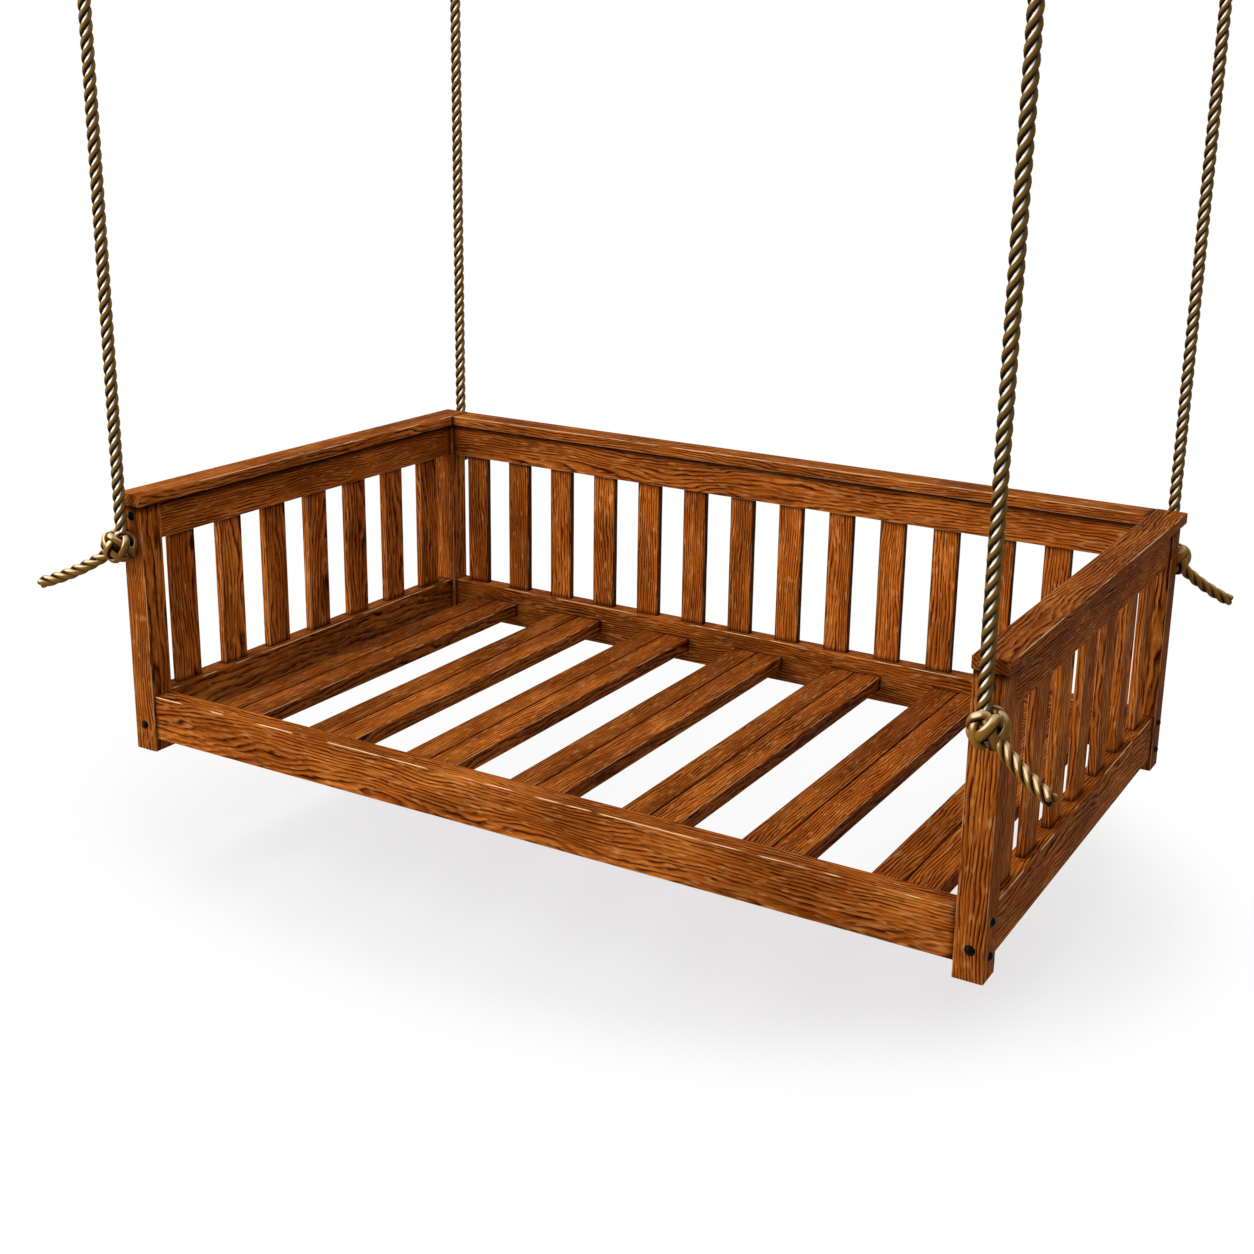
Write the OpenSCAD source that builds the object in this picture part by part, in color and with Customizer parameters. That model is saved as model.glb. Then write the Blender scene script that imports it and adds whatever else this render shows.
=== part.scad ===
// Hanging swing bed: a slatted daybed on four ropes, hung from four ceiling eyes.
// X runs along the bed, Y from its open front to its back, Z up.
// The origin is on the ceiling, midway between the four eyes.

/* [Bed frame] */
// Length over the corner posts
bed_l = 2080; // [1700:5:2400]
// Depth over the corner posts
bed_d = 1200; // [900:5:1500]
// Height of the corner posts
post_h = 586; // [500:2:760]
// Width of the square corner posts
post_w = 60; // [58:1:76]
// Radius of the eased edges of every board
edge_r = 3; // [1:0.5:4]

/* [Rails] */
// Thickness of the rails
rail_t = 48; // [40:1:50]
// Set-back of the rails from the posts' outer faces
rail_inset = 5; // [2:0.5:7]
// Height of the lower rails
low_rail_h = 105; // [98:1:150]
// Height of the rails under the cap
top_rail_h = 86; // [66:1:110]
// Clear height under the lower rails
low_rail_lift = 30; // [10:1:60]
// Thickness of the tenons on the rails
tenon_t = 22; // [12:1:24]
// Length of the tenons on the rails
tenon_l = 16; // [8:1:17]
// Length of the pinned tenons in the two front posts
pinned_tenon_l = 36; // [34:1:40]
// Shoulder above and below each tenon
tenon_shoulder = 6; // [4:1:7]

/* [Cap boards] */
// Thickness of the cap boards
cap_t = 26; // [20:1:36]
// Overhang of the cap past the posts at the sides and the back
cap_over = 10; // [2:1:12]
// Overhang of the side caps past the front posts
cap_front = 4; // [0:1:12]
// Overhang of the cap past the posts' inner faces
cap_in = 2; // [0:1:12]

/* [Bed slats] */
// Number of bed slats
bed_slats = 7; // [5:1:8]
// Width of a bed slat
bed_slat_w = 138; // [110:1:150]
// Thickness of a bed slat
bed_slat_t = 36; // [24:1:40]
// Drop from the top of the rails to the top of the slats
bed_slat_drop = 38; // [20:1:40]
// Gap between an end rail and the first bed slat
bed_slat_end_gap = 84; // [60:1:120]
// Depth of the housings that hold the bed slats
housing_l = 15; // [8:1:16]
// Width of the glue-line groove along a bed slat
groove_w = 3; // [1:0.5:5]

/* [Side slats] */
// Thickness of the upright slats
side_slat_t = 19; // [12:1:22]
// Depth of the mortises that hold the upright slats
slat_set = 14; // [8:1:18]
// Number of upright slats in the back
back_slats = 14; // [8:1:15]
// Width of an upright slat in the back
back_slat_w = 66; // [50:1:76]
// Gap between a post and the first back slat
back_slat_end_gap = 37; // [20:1:60]
// Number of upright slats in each end
end_slats = 7; // [4:1:8]
// Width of an upright slat in the ends
end_slat_w = 74; // [50:1:80]
// Gap between a post and the first end slat
end_slat_end_gap = 44; // [20:1:60]

/* [Fastenings] */
// Diameter of the lag bolts
bolt_d = 8; // [6:0.5:10]
// Length of a lag bolt into the rail behind its post
bolt_bite = 56; // [40:1:70]
// Diameter of the domed bolt heads
head_d = 21; // [14:0.5:26]
// Height of the domed bolt heads
head_h = 6.5; // [3:0.5:9]
// Height of the end rails' bolts above the bottom of the rail
end_bolt_up = 31; // [30:1:36]
// Height of the long rails' lower bolts above the bottom of the rail
long_bolt_up = 15; // [12:1:16]
// Height of the long rails' upper bolts above the bottom of the rail
long_bolt_up_2 = 82; // [60:1:84]
// Drop of the top bolts below the top of the posts
top_bolt_drop = 25; // [24:1:32]
// Diameter of the pins through the front posts
pin_d = 6; // [4:0.5:7]
// Drop of the pins below the top of the posts
pin_drop = 14; // [12:0.5:16]
// Diameter of the dowels under the cap
dowel_d = 10; // [8:0.5:12]
// Length of a dowel
dowel_l = 32; // [28:1:36]
// Depth of a dowel in the cap
dowel_cap = 14; // [10:1:16]

/* [Ropes] */
// Diameter of the ropes
rope_d = 28; // [20:1:30]
// Distance from the post's face to the middle of its rope
rope_off = 27.5; // [26:0.5:40]
// Distance of a rope outwards from the middle of its post
rope_out = 4; // [0:1:8]
// Distance of a knot outwards from the middle of its post
knot_out = 14; // [8:1:18]
// Width of a stopper knot
knot_d = 82; // [70:1:90]
// Distance of a knot's middle below the top of the posts
knot_drop = 89; // [88:1:146]
// Length of a rope's tail from the middle of its knot
tail_l = 185; // [120:5:240]
// Turn of a tail from the bed's long axis towards the outside
tail_turn = 25; // [0:5:60]
// Downward slope of a tail where it leaves the knot
tail_slope = 38; // [20:1:60]
// Height of a rope's bending point above the cap
bend_up = 2; // [1:0.5:6]
// Distance from the ceiling to the foot of the posts
hang_h = 2120; // [1600:10:3200]
// Length of the tapered splice at the top of a rope
splice_l = 130; // [80:5:200]
// Radius of a rope's eye to the middle of the rope
eye_r = 34; // [33:1:44]
// Length from the middle of a rope's eye to its throat
throat_l = 100; // [84:1:130]
// Thickness of a thimble's wall
thimble_t = 3.7; // [2:0.1:4.5]

/* [Hangers] */
// Diameter of the ceiling eyes' studs
stud_d = 12; // [10:1:16]
// Length of a stud above the ceiling
stud_l = 80; // [50:5:120]
// Diameter of the ceiling eyes' flanges
flange_d = 42; // [34:1:60]
// Thickness of the ceiling eyes' flanges
flange_t = 6; // [4:0.5:9]
// Inner radius of the ceiling eyes' rings
ring_r = 13; // [12:0.5:16]
// Thickness of the wire in the rings and shackles
wire_d = 12; // [10:0.5:13]
// Length of a shackle's legs
shackle_leg = 42; // [42:1:60]
// Thickness of a shackle's ears
ear_t = 12; // [8:1:14]
// Diameter of the screw eyes' rings to the middle of the wire
screw_ring_d = 30; // [26:1:32]
// Thickness of the screw eyes' wire
screw_wire_d = 9; // [7:0.5:10]
// Diameter of the screw eyes' threads
screw_d = 12; // [8:0.5:12]
// Depth of the screw eyes in the posts
screw_l = 46; // [30:1:48]

/* [Hidden] */
$fn = 48;
facet_sides = 12;

SIDES = [["lf", -1, -1], ["rf", 1, -1], ["bl", -1, 1], ["br", 1, 1]];
SLAT_NODES = [for (i = [1 : bed_slats]) str("bed_slat_", i)];

// Clearances
joint_gap = 0.2;   // round a tenon, a slat's end or a dowel
seat_gap = 0.3;    // between pieces that move on each other
thread_gap = 0.05; // round a bolt, pin or screw in its hole
overlap = 1;       // how far a cutter reaches past a face

// Places that several pieces share, measured in the bed
post_x = bed_l / 2 - post_w / 2;
post_y = bed_d / 2 - post_w / 2;
rail_x = bed_l / 2 - rail_inset - rail_t / 2;
rail_y = bed_d / 2 - rail_inset - rail_t / 2;
span_x = bed_l - 2 * post_w;
span_y = bed_d - 2 * post_w;
low_rail_top = low_rail_lift + low_rail_h;
top_rail_z = post_h - top_rail_h;
bed_slat_z = low_rail_top - bed_slat_drop - bed_slat_t;
bed_slat_span = bed_d - 2 * (rail_inset + rail_t) + 2 * housing_l - 2 * joint_gap;
side_slat_z = low_rail_top - slat_set + joint_gap;
side_slat_h = top_rail_z + slat_set - joint_gap - side_slat_z;
bolt_r = bolt_d / 2;
pin_z = post_h - pin_drop;
dowel_y = 18;

// Places along a rope, measured from the ceiling
rope_r = rope_d / 2;
wire_r = wire_d / 2;
rope_x = post_x + rope_out;
rope_y = bed_d / 2 + rope_off;
knot_x = post_x + knot_out;
knot_z = post_h - knot_drop;
bend_z = post_h + cap_t + bend_up;
ring_z = -flange_t - ring_r - wire_d - 2;
pin_hang = ring_r - wire_r - seat_gap;
pivot_z = ring_z - pin_hang;
crown_z = pivot_z - shackle_leg;
throat_z = crown_z - eye_r - throat_l;
rope_top = throat_z - splice_l;
rope_bottom = bend_z - hang_h + rope_r + seat_gap;
thimble_r = rope_r + thimble_t;
bow_r = thimble_r + seat_gap + wire_r;

function slat_x(i) = let (
        first = rail_inset + rail_t + bed_slat_end_gap + bed_slat_w / 2 - bed_l / 2,
        pitch = -2 * first / (bed_slats - 1)
    ) first + (i - 1) * pitch;
function slat_places(span, count, width, end_gap) = [for (i = [0 : count - 1])
    (end_gap + width / 2) + i * (span - 2 * end_gap - width) / (count - 1) - span / 2];
back_places = slat_places(span_x, back_slats, back_slat_w, back_slat_end_gap);
end_places = slat_places(span_y, end_slats, end_slat_w, end_slat_end_gap);

// A round rope or rod as one mesh, swept along a list of points
function ring_axes(along) = let (
        side = abs(along.z) > 0.9 ? [1, 0, 0] : [0, 0, 1],
        across = cross(side, along) / norm(cross(side, along))
    ) [across, cross(along, across)];
function heading(route, i) = let (
        step = route[min(i + 1, len(route) - 1)] - route[max(i - 1, 0)]
    ) step / norm(step);

module tube(route, r, sides = facet_sides) {
    rings = len(route);
    points = [for (i = [0 : rings - 1], j = [0 : sides - 1])
        let (axes = ring_axes(heading(route, i)), turn = 360 * j / sides)
        route[i] + r * (cos(turn) * axes[0] + sin(turn) * axes[1])];
    walls = [for (i = [0 : rings - 2], j = [0 : sides - 1])
        [i * sides + j, i * sides + (j + 1) % sides,
            (i + 1) * sides + (j + 1) % sides, (i + 1) * sides + j]];
    polyhedron(concat([for (p = points) p]), concat(
        [[for (j = [sides - 1 : -1 : 0]) j]],
        walls,
        [[for (j = [0 : sides - 1]) (rings - 1) * sides + j]]));
}

// ---- Timber ----

module eased_rect(w, h, r = edge_r) {
    square([w - 2 * r, h], center = true);
    square([w, h - 2 * r], center = true);
    for (x = [-1, 1], y = [-1, 1])
        translate([x * (w / 2 - r), y * (h / 2 - r)]) circle(r);
}

// Boards with eased long edges, centred on the origin
module board_x(l, w, h) {
    rotate([90, 0, 90]) linear_extrude(l, center = true) eased_rect(w, h);
}

module board_y(l, w, h) {
    rotate([90, 0, 0]) linear_extrude(l, center = true) eased_rect(w, h);
}

module board_z(l, w, d) {
    linear_extrude(l, center = true) eased_rect(w, d);
}

// What lies in the bed hangs by hang_h
module in_bed() {
    translate([0, 0, -hang_h]) children();
}

// A tenon and, with gap, its mortise, pointing along +X from the shoulder
module tenon(l, h, gap = 0) {
    translate([-overlap, -tenon_t / 2 - gap, tenon_shoulder - gap])
        cube([l + overlap + gap, tenon_t + 2 * gap, h - 2 * tenon_shoulder + 2 * gap]);
}

module rail(span, h, end_l = tenon_l) {
    translate([0, 0, h / 2]) board_x(span, rail_t, h);
    translate([span / 2, 0, 0]) tenon(tenon_l, h);
    translate([-span / 2, 0, 0]) rotate(180) tenon(end_l, h);
}

// A bolt along +X with the underside of its head at the origin
module lag_bolt(gap = 0) {
    l = post_w + bolt_bite;
    rotate([0, 90, 0]) cylinder(l, r = bolt_r + gap);
}

module bolt_head() {
    sphere_r = (pow(head_d / 2, 2) + pow(head_h, 2)) / (2 * head_h);
    rotate([0, -90, 0]) intersection() {
        translate([0, 0, head_h - sphere_r]) sphere(sphere_r);
        cylinder(head_h + overlap, r = head_d);
    }
}

// Puts a bolt at each place that has one
module end_rail_bolt_places() {
    for (x = [-1, 1], y = [-1, 1], z = [low_rail_lift + end_bolt_up, post_h - top_bolt_drop])
        translate([x * rail_x, y * bed_d / 2, z]) rotate(-y * 90) children();
}

module long_rail_bolt_places() {
    for (x = [-1, 1], y = [-1, 1], up = [long_bolt_up, long_bolt_up_2])
        translate([x * bed_l / 2, y * rail_y, low_rail_lift + up])
            rotate(x > 0 ? 180 : 0) children();
}

module all_bolts(gap) {
    end_rail_bolt_places() lag_bolt(gap);
    long_rail_bolt_places() lag_bolt(gap);
}

module pin_places() {
    for (x = [-1, 1]) translate([x * post_x, -post_y, pin_z]) rotate([0, 90, 0]) children();
}

module dowel_places() {
    for (x = [-1, 1], y = [-1, 1]) translate([x * post_x, y * (post_y + dowel_y), post_h]) children();
    for (x = [-1, 1], y = [-1, 1]) translate([x * rail_x, y * span_y / 4, post_h]) children();
    for (x = [-1 : 1]) translate([x * span_x / 3, rail_y, post_h]) children();
}

module dowel(gap = 0) {
    translate([0, 0, dowel_cap - dowel_l - gap]) cylinder(dowel_l + 2 * gap, d = dowel_d + 2 * gap);
}

module screw_eye_places() {
    for (x = [-1, 1], y = [-1, 1])
        translate([x * knot_x, y * rope_y, knot_z]) rotate(y > 0 ? 180 : 0) children();
}

module post(x, y) {
    color("#7d4519") in_bed() difference() {
        translate([x * post_x, y * post_y, post_h / 2]) board_z(post_h, post_w, post_w);
        // mortises for the end rails
        for (r = [[low_rail_lift, low_rail_h, tenon_l],
                [top_rail_z, top_rail_h, y < 0 ? pinned_tenon_l : tenon_l]])
            translate([x * rail_x, y * span_y / 2, r[0]]) rotate(y * 90)
                tenon(r[2], r[1], joint_gap);
        // mortises for the long rails
        for (r = y > 0 ? [[low_rail_lift, low_rail_h], [top_rail_z, top_rail_h]]
                : [[low_rail_lift, low_rail_h]])
            translate([x * span_x / 2, y * rail_y, r[0]]) rotate(x > 0 ? 0 : 180)
                tenon(tenon_l, r[1], joint_gap);
        all_bolts(thread_gap);
        pin_places() cylinder(post_w + 2 * overlap, d = pin_d + 2 * thread_gap, center = true);
        dowel_places() dowel(joint_gap);
        screw_eye_places() screw_shank(thread_gap);
    }
}

module low_rail_end(x) {
    color("#7a4218") in_bed() difference() {
        translate([x * rail_x, 0, low_rail_lift]) rotate(90) rail(span_y, low_rail_h);
        slat_mortises_y(x, low_rail_top - slat_set);
        all_bolts(thread_gap);
    }
}

module low_rail_long(y) {
    color("#7a4218") in_bed() difference() {
        translate([0, y * rail_y, low_rail_lift]) rail(span_x, low_rail_h);
        if (y > 0) slat_mortises_x(low_rail_top - slat_set);
        for (i = [1 : bed_slats])
            translate([slat_x(i), 0, bed_slat_z + bed_slat_t / 2])
                cube([bed_slat_w + 2 * joint_gap, bed_slat_span + 2 * joint_gap,
                    bed_slat_t + 2 * joint_gap], center = true);
        all_bolts(thread_gap);
    }
}

module top_rail_end(x) {
    color("#7a4218") in_bed() difference() {
        translate([x * rail_x, 0, top_rail_z]) rotate(90) rail(span_y, top_rail_h, pinned_tenon_l);
        slat_mortises_y(x, top_rail_z);
        all_bolts(thread_gap);
        pin_places() cylinder(2 * post_w, d = pin_d + 2 * thread_gap, center = true);
        dowel_places() dowel(joint_gap);
    }
}

module top_rail_back() {
    color("#7a4218") in_bed() difference() {
        translate([0, rail_y, top_rail_z]) rail(span_x, top_rail_h);
        slat_mortises_x(top_rail_z);
        dowel_places() dowel(joint_gap);
    }
}

// Mortises for the upright slats, reaching past the open face of the rail
module slat_mortises_y(x, z) {
    for (y = end_places) slat_mortise(x * rail_x, y, z, side_slat_t, end_slat_w);
}

module slat_mortises_x(z) {
    for (x = back_places) slat_mortise(x, rail_y, z, back_slat_w, side_slat_t);
}

module slat_mortise(x, y, z, w, d) {
    low = z > post_h / 2 ? -overlap : 0;
    translate([x - w / 2 - joint_gap, y - d / 2 - joint_gap, z + low])
        cube([w + 2 * joint_gap, d + 2 * joint_gap, slat_set + overlap]);
}

module cap_end(x) {
    w = cap_over + post_w + cap_in;
    l = cap_front + bed_d + cap_over;
    color("#8a4d1f") in_bed() difference() {
        translate([x * (bed_l / 2 + cap_over - w / 2), (cap_over - cap_front) / 2, post_h + cap_t / 2])
            board_y(l, w, cap_t);
        dowel_places() dowel(joint_gap);
    }
}

module cap_back() {
    w = cap_over + post_w + cap_in;
    color("#8a4d1f") in_bed() difference() {
        translate([0, bed_d / 2 + cap_over - w / 2, post_h + cap_t / 2])
            board_x(span_x - 2 * cap_in, w, cap_t);
        dowel_places() dowel(joint_gap);
    }
}

// Two strips glued edge to edge, with a fine groove along the joint
module bed_slat(i) {
    color("#8a4a1c") in_bed() translate([slat_x(i), 0, bed_slat_z + bed_slat_t / 2]) difference() {
        board_y(bed_slat_span, bed_slat_w, bed_slat_t);
        translate([0, 0, bed_slat_t / 2]) rotate([90, 0, 0])
            linear_extrude(bed_slat_span + 2 * overlap, center = true)
                polygon([[-groove_w / 2, 0], [0, -groove_w / 2], [groove_w / 2, 0],
                    [groove_w / 2, overlap], [-groove_w / 2, overlap]]);
    }
}

module end_slat_row(x) {
    color("#814619") in_bed() for (y = end_places)
        translate([x * rail_x, y, side_slat_z + side_slat_h / 2])
            board_z(side_slat_h, side_slat_t, end_slat_w);
}

module back_slat_row() {
    color("#814619") in_bed() for (x = back_places)
        translate([x, rail_y, side_slat_z + side_slat_h / 2])
            board_z(side_slat_h, back_slat_w, side_slat_t);
}

// ---- Fastenings ----

module lag_bolts() {
    color("#1c1b1d") in_bed() {
        end_rail_bolt_places() { lag_bolt(); bolt_head(); }
        long_rail_bolt_places() { lag_bolt(); bolt_head(); }
    }
}

module tenon_pins() {
    color("#2a1a10") in_bed() pin_places() cylinder(post_w, d = pin_d, center = true);
}

module cap_dowels() {
    color("#b98a55") in_bed() dowel_places() dowel();
}

// From the middle of the ring at the origin into the post along +Y
module screw_shank(gap = 0) {
    translate([0, rope_off, 0]) rotate([-90, 0, 0]) cylinder(screw_l + gap, d = screw_d + 2 * gap);
}

module screw_eye(gap = 0) {
    rotate([0, 90, 0]) rotate_extrude() translate([screw_ring_d / 2, 0]) circle(d = screw_wire_d + 2 * gap);
    translate([0, screw_ring_d / 2, 0]) rotate([-90, 0, 0])
        cylinder(rope_off - screw_ring_d / 2 + screw_l, d = screw_d + 2 * gap);
}

module screw_eyes() {
    color("#26262a") in_bed() screw_eye_places() screw_eye();
}

// ---- Ropes ----

// Three turns of rope drawn up in a ball, flat where it lies on the post
module knot_ball() {
    mid_r = knot_d / 2 - rope_r;
    lift = 0.875 * rope_d;
    difference() {
        union() {
            rotate_extrude() translate([mid_r, 0]) circle(rope_r);
            for (z = [-1, 1]) translate([0, 0, z * lift]) rotate_extrude()
                translate([mid_r * 0.72, 0]) circle(rope_r);
            cylinder(2 * lift, r = mid_r, center = true);
        }
        translate([-knot_d, rope_off - seat_gap, -knot_d]) cube(2 * knot_d);
    }
}

// A stiff tail that leaves the knot sloping down and lifts towards its cut end
module tail(x) {
    lift = 22;
    bend = tail_l / (lift * PI / 180);
    rotate(x > 0 ? -tail_turn : 180 + tail_turn)
        translate([bend * sin(tail_slope), 0, bend * cos(tail_slope)])
            rotate([90, 0, 0]) rotate(270 - tail_slope) rotate_extrude(angle = lift)
                translate([bend, 0]) circle(rope_r);
}

module knot(x, y) {
    foot_h = bend_z - rope_r - seat_gap - knot_z;
    color("#8f7434") in_bed() difference() {
        translate([0, 0, knot_z]) {
            translate([x * knot_x, y * rope_y, 0]) rotate(y > 0 ? 180 : 0) knot_ball();
            translate([x * knot_x, y * rope_y, 0]) mirror([0, y > 0 ? 1 : 0, 0]) tail(x);
            translate([x * rope_x, y * rope_y, 0]) cylinder(foot_h, r = rope_r);
        }
        screw_eye_places() screw_eye(seat_gap);
    }
}

// The short stretch that bends over the edge of the cap
module rope_bend(x, y) {
    color("#8f7434") in_bed() translate([x * rope_x, y * rope_y, bend_z]) sphere(rope_r);
}

// The straight stretch, up to the splice
module rope(x, y) {
    steps = 16;
    color("#8f7434") tube([for (i = [0 : steps])
        [x * rope_x, y * rope_y, rope_bottom + (rope_top - rope_bottom) * i / steps]], rope_r);
}

// Everything above is hung from its own ceiling eye
module at_rope(x, y) {
    translate([x * rope_x, y * rope_y, 0]) children();
}

// The rope's eye with its tapered splice
module rope_eye(x, y) {
    wrap = asin(eye_r / throat_l);
    leg = sqrt(pow(throat_l, 2) - pow(eye_r, 2));
    color("#8f7434") at_rope(x, y) {
        translate([0, 0, crown_z - eye_r]) rotate([0, 90, 0]) rotate(180 - 90 - wrap)
            rotate_extrude(angle = 180 + 2 * wrap) translate([eye_r, 0]) circle(rope_r);
        for (side = [-1, 1]) translate([0, 0, throat_z]) rotate([-side * wrap, 0, 0])
            cylinder(leg + 3, r = rope_r - 0.2);
        translate([0, 0, throat_z - splice_l]) cylinder(splice_l, r1 = rope_r, r2 = 1.35 * rope_r);
    }
}

// A channel of metal that lines the rope's eye
module thimble(x, y) {
    color("#b9bcc0") at_rope(x, y) translate([0, 0, crown_z - eye_r]) rotate([0, 90, 0])
        rotate(-90) rotate_extrude(angle = 180) intersection() {
            translate([eye_r, 0]) difference() {
                circle(thimble_r);
                circle(rope_r + thread_gap);
            }
            translate([0, -thimble_r]) square([eye_r - thread_gap, 2 * thimble_r]);
        }
}

// ---- Hangers ----

module shackle(x, y) {
    ear_x = bow_r;
    color("#9da1a6") at_rope(x, y) difference() {
        union() {
            translate([0, 0, crown_z]) rotate([90, 0, 0]) rotate(180) rotate_extrude(angle = 180)
                translate([bow_r, 0]) circle(wire_r);
            for (side = [-1, 1]) {
                translate([side * bow_r, 0, crown_z]) cylinder(shackle_leg, r = wire_r);
                translate([side * ear_x, 0, pivot_z]) rotate([0, 90, 0])
                    cylinder(ear_t, r = wire_d + 1, center = true);
            }
        }
        translate([0, 0, pivot_z]) rotate([0, 90, 0])
            cylinder(4 * bow_r, r = wire_r + thread_gap, center = true);
    }
}

module shackle_pin(x, y) {
    reach = bow_r + ear_t / 2;
    color("#7f8388") at_rope(x, y) translate([0, 0, pivot_z]) rotate([0, 90, 0]) {
        cylinder(2 * reach + 4, r = wire_r, center = true);
        translate([0, 0, reach]) cylinder(5, r = wire_d - 2);
        translate([0, 0, -reach - 7]) cylinder(7, r = wire_d - 2, $fn = 6);
    }
}

module ceiling_eyes() {
    color("#8e9297") for (c = SIDES) at_rope(c[1], c[2]) {
        cylinder(stud_l, d = stud_d);
        translate([0, 0, -flange_t]) cylinder(flange_t, d = flange_d);
        translate([0, 0, ring_z + ring_r + wire_r / 2]) cylinder(-flange_t - ring_z - ring_r, r = wire_r);
        translate([0, 0, ring_z]) rotate([0, 90, 0]) rotate_extrude()
            translate([ring_r + wire_r, 0]) circle(wire_r);
    }
}

for (c = SIDES) post(c[1], c[2]);
low_rail_end(-1);  // low_rail_left
low_rail_end(1);  // low_rail_right
low_rail_long(-1);  // low_rail_front
low_rail_long(1);  // low_rail_back
top_rail_end(-1);  // top_rail_left
top_rail_end(1);  // top_rail_right
top_rail_back();
cap_end(-1);  // cap_left
cap_end(1);  // cap_right
cap_back();
for (i = [1 : bed_slats]) bed_slat(i);
end_slat_row(-1);  // slats_left
end_slat_row(1);  // slats_right
back_slat_row();  // slats_back
lag_bolts();
tenon_pins();
cap_dowels();
screw_eyes();
ceiling_eyes();
for (c = SIDES) knot(c[1], c[2]);
for (c = SIDES) rope(c[1], c[2]);
for (c = SIDES) rope_bend(c[1], c[2]);
for (c = SIDES) rope_eye(c[1], c[2]);
for (c = SIDES) thimble(c[1], c[2]);
for (c = SIDES) shackle(c[1], c[2]);
for (c = SIDES) shackle_pin(c[1], c[2]);
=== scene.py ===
import math
import random

import bmesh
import bpy
from mathutils import Matrix, Vector


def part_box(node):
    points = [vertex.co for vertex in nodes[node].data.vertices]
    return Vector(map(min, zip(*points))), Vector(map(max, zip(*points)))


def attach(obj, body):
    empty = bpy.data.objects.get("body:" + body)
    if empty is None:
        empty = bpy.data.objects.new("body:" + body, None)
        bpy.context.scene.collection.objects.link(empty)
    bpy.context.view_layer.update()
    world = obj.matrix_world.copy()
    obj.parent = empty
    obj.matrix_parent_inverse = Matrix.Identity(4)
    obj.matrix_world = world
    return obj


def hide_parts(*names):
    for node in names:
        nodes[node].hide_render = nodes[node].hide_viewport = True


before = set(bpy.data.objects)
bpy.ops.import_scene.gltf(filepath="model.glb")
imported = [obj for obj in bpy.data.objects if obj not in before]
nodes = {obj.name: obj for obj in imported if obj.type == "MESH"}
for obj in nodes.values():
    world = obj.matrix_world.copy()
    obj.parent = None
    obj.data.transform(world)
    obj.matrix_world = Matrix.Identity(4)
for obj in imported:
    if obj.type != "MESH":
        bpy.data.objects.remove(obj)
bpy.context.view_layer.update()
print("frame loaded,", len(nodes), "solids")

feet = -2.12  # height of the posts' feet below the ceiling, in metres
corners = [("lf", -1, -1), ("rf", 1, -1), ("bl", -1, 1), ("br", 1, 1)]  # name, side in X and in Y


def hexToLinear(hexColour):
    parts = [int(hexColour[i:i + 2], 16) / 255 for i in (1, 3, 5)]
    return (*(c / 12.92 if c <= 0.04045 else ((c + 0.055) / 1.055) ** 2.4 for c in parts), 1.0)


def addNode(tree, kind, inputs=None, **settings):
    # an input that is given a socket, or a node for its first output, is linked; any other value is set
    node = tree.nodes.new(kind)
    for name, value in settings.items():
        setattr(node, name, value)
    for name, value in (inputs or {}).items():
        if isinstance(value, bpy.types.Node):
            value = value.outputs[0]
        if isinstance(value, bpy.types.NodeSocket):
            tree.links.new(value, node.inputs[name])
        else:
            node.inputs[name].default_value = value
    return node


def newMaterial(name):
    material = bpy.data.materials.new(name)
    material.use_nodes = True
    material.node_tree.nodes.clear()
    return material, material.node_tree


def setRamp(node, stops):
    ramp = node.color_ramp
    while len(ramp.elements) > 1:
        ramp.elements.remove(ramp.elements[-1])
    ramp.elements[0].position, ramp.elements[0].color = stops[0]
    for place, colour in stops[1:]:
        ramp.elements.new(place).color = colour
    return node


def grey(value):
    return (value, value, value, 1.0)


def placeInScene(name, data):
    piece = bpy.data.objects.new(name, data)
    bpy.context.scene.collection.objects.link(piece)
    return piece


stainedOak = {
    "light": "#ba6b25", "mid": "#9b4b11", "deep": "#84400c", "line": "#3f1502", "streak": "#d18740",
    "highlightFleck": "#dc9c5c", "pore": "#240e05", "arrisWearAndHighlight": "#ffcf9c", "joint": "#1a0902",
    "ringSpacing": 0.0062,  # metres between growth rings, which cut the faces at a slant
    # how the rings wander over a board, a hand and a finger: the noise's scale, and its reach in metres
    "wander": ((4.5, 0.060), (17.0, 0.0248), (70.0, 0.0064)),
    # how far outside the board the log's heart lies, to the side and behind, and its slant in radians
    "heartAside": (0.05, 0.10), "heartBehind": (0.012, 0.04), "heartSlant": (0.008, 0.018),
    # the dark end of each ring and the pale start of the next: the place in the ring, and how strong
    "late": ((0.0, 1.0), (0.07, 0.25), (0.15, 0.0), (0.56, 0.0), (0.74, 0.5), (0.88, 1.0)),
    "early": ((0.12, 0.0), (0.24, 0.55), (0.40, 0.30), (0.58, 0.0)),
    # marks along the grain: width for length, the noise's scale and detail, the levels of the noise
    # between which a mark comes up, and how strong it gets; flecks are painted highlights, short pale glints
    "streaks": (0.060, 150.0, 1.0, 0.62, 0.78, 0.50),
    "highlightFlecks": (0.17, 190.0, 0.0, 0.64, 0.78, 0.38),
    "pores": (1 / 14, 500.0, 1.0, 0.62, 0.72, 0.70),
    "patches": (0.80, 1.16),  # how dark and how pale a board gets in places
    "arrisWearAndHighlightBand": (0.0024, 0.0010),  # from where to where in from an edge the stain is rubbed thin and a painted highlight runs
    "edgeDarkBand": (0.0050, 0.0006),  # and where a slat is darkened along its edge
    "seam": (0.0055, 0.92),  # how far the painted shade and gathered stain reach from a glued seam, and how dark they are there
    "capShadow": (0.024, 0.003, 0.92),  # from where to where below the caps their painted shadow reaches, and how dark
    "boardEnd": (0.016, 0.002, 0.88),  # from where to where before and behind a joint's shoulder the painted shade and gathered stain reach, and how dark
    "roughness": (0.38, 0.60),
}


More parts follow.
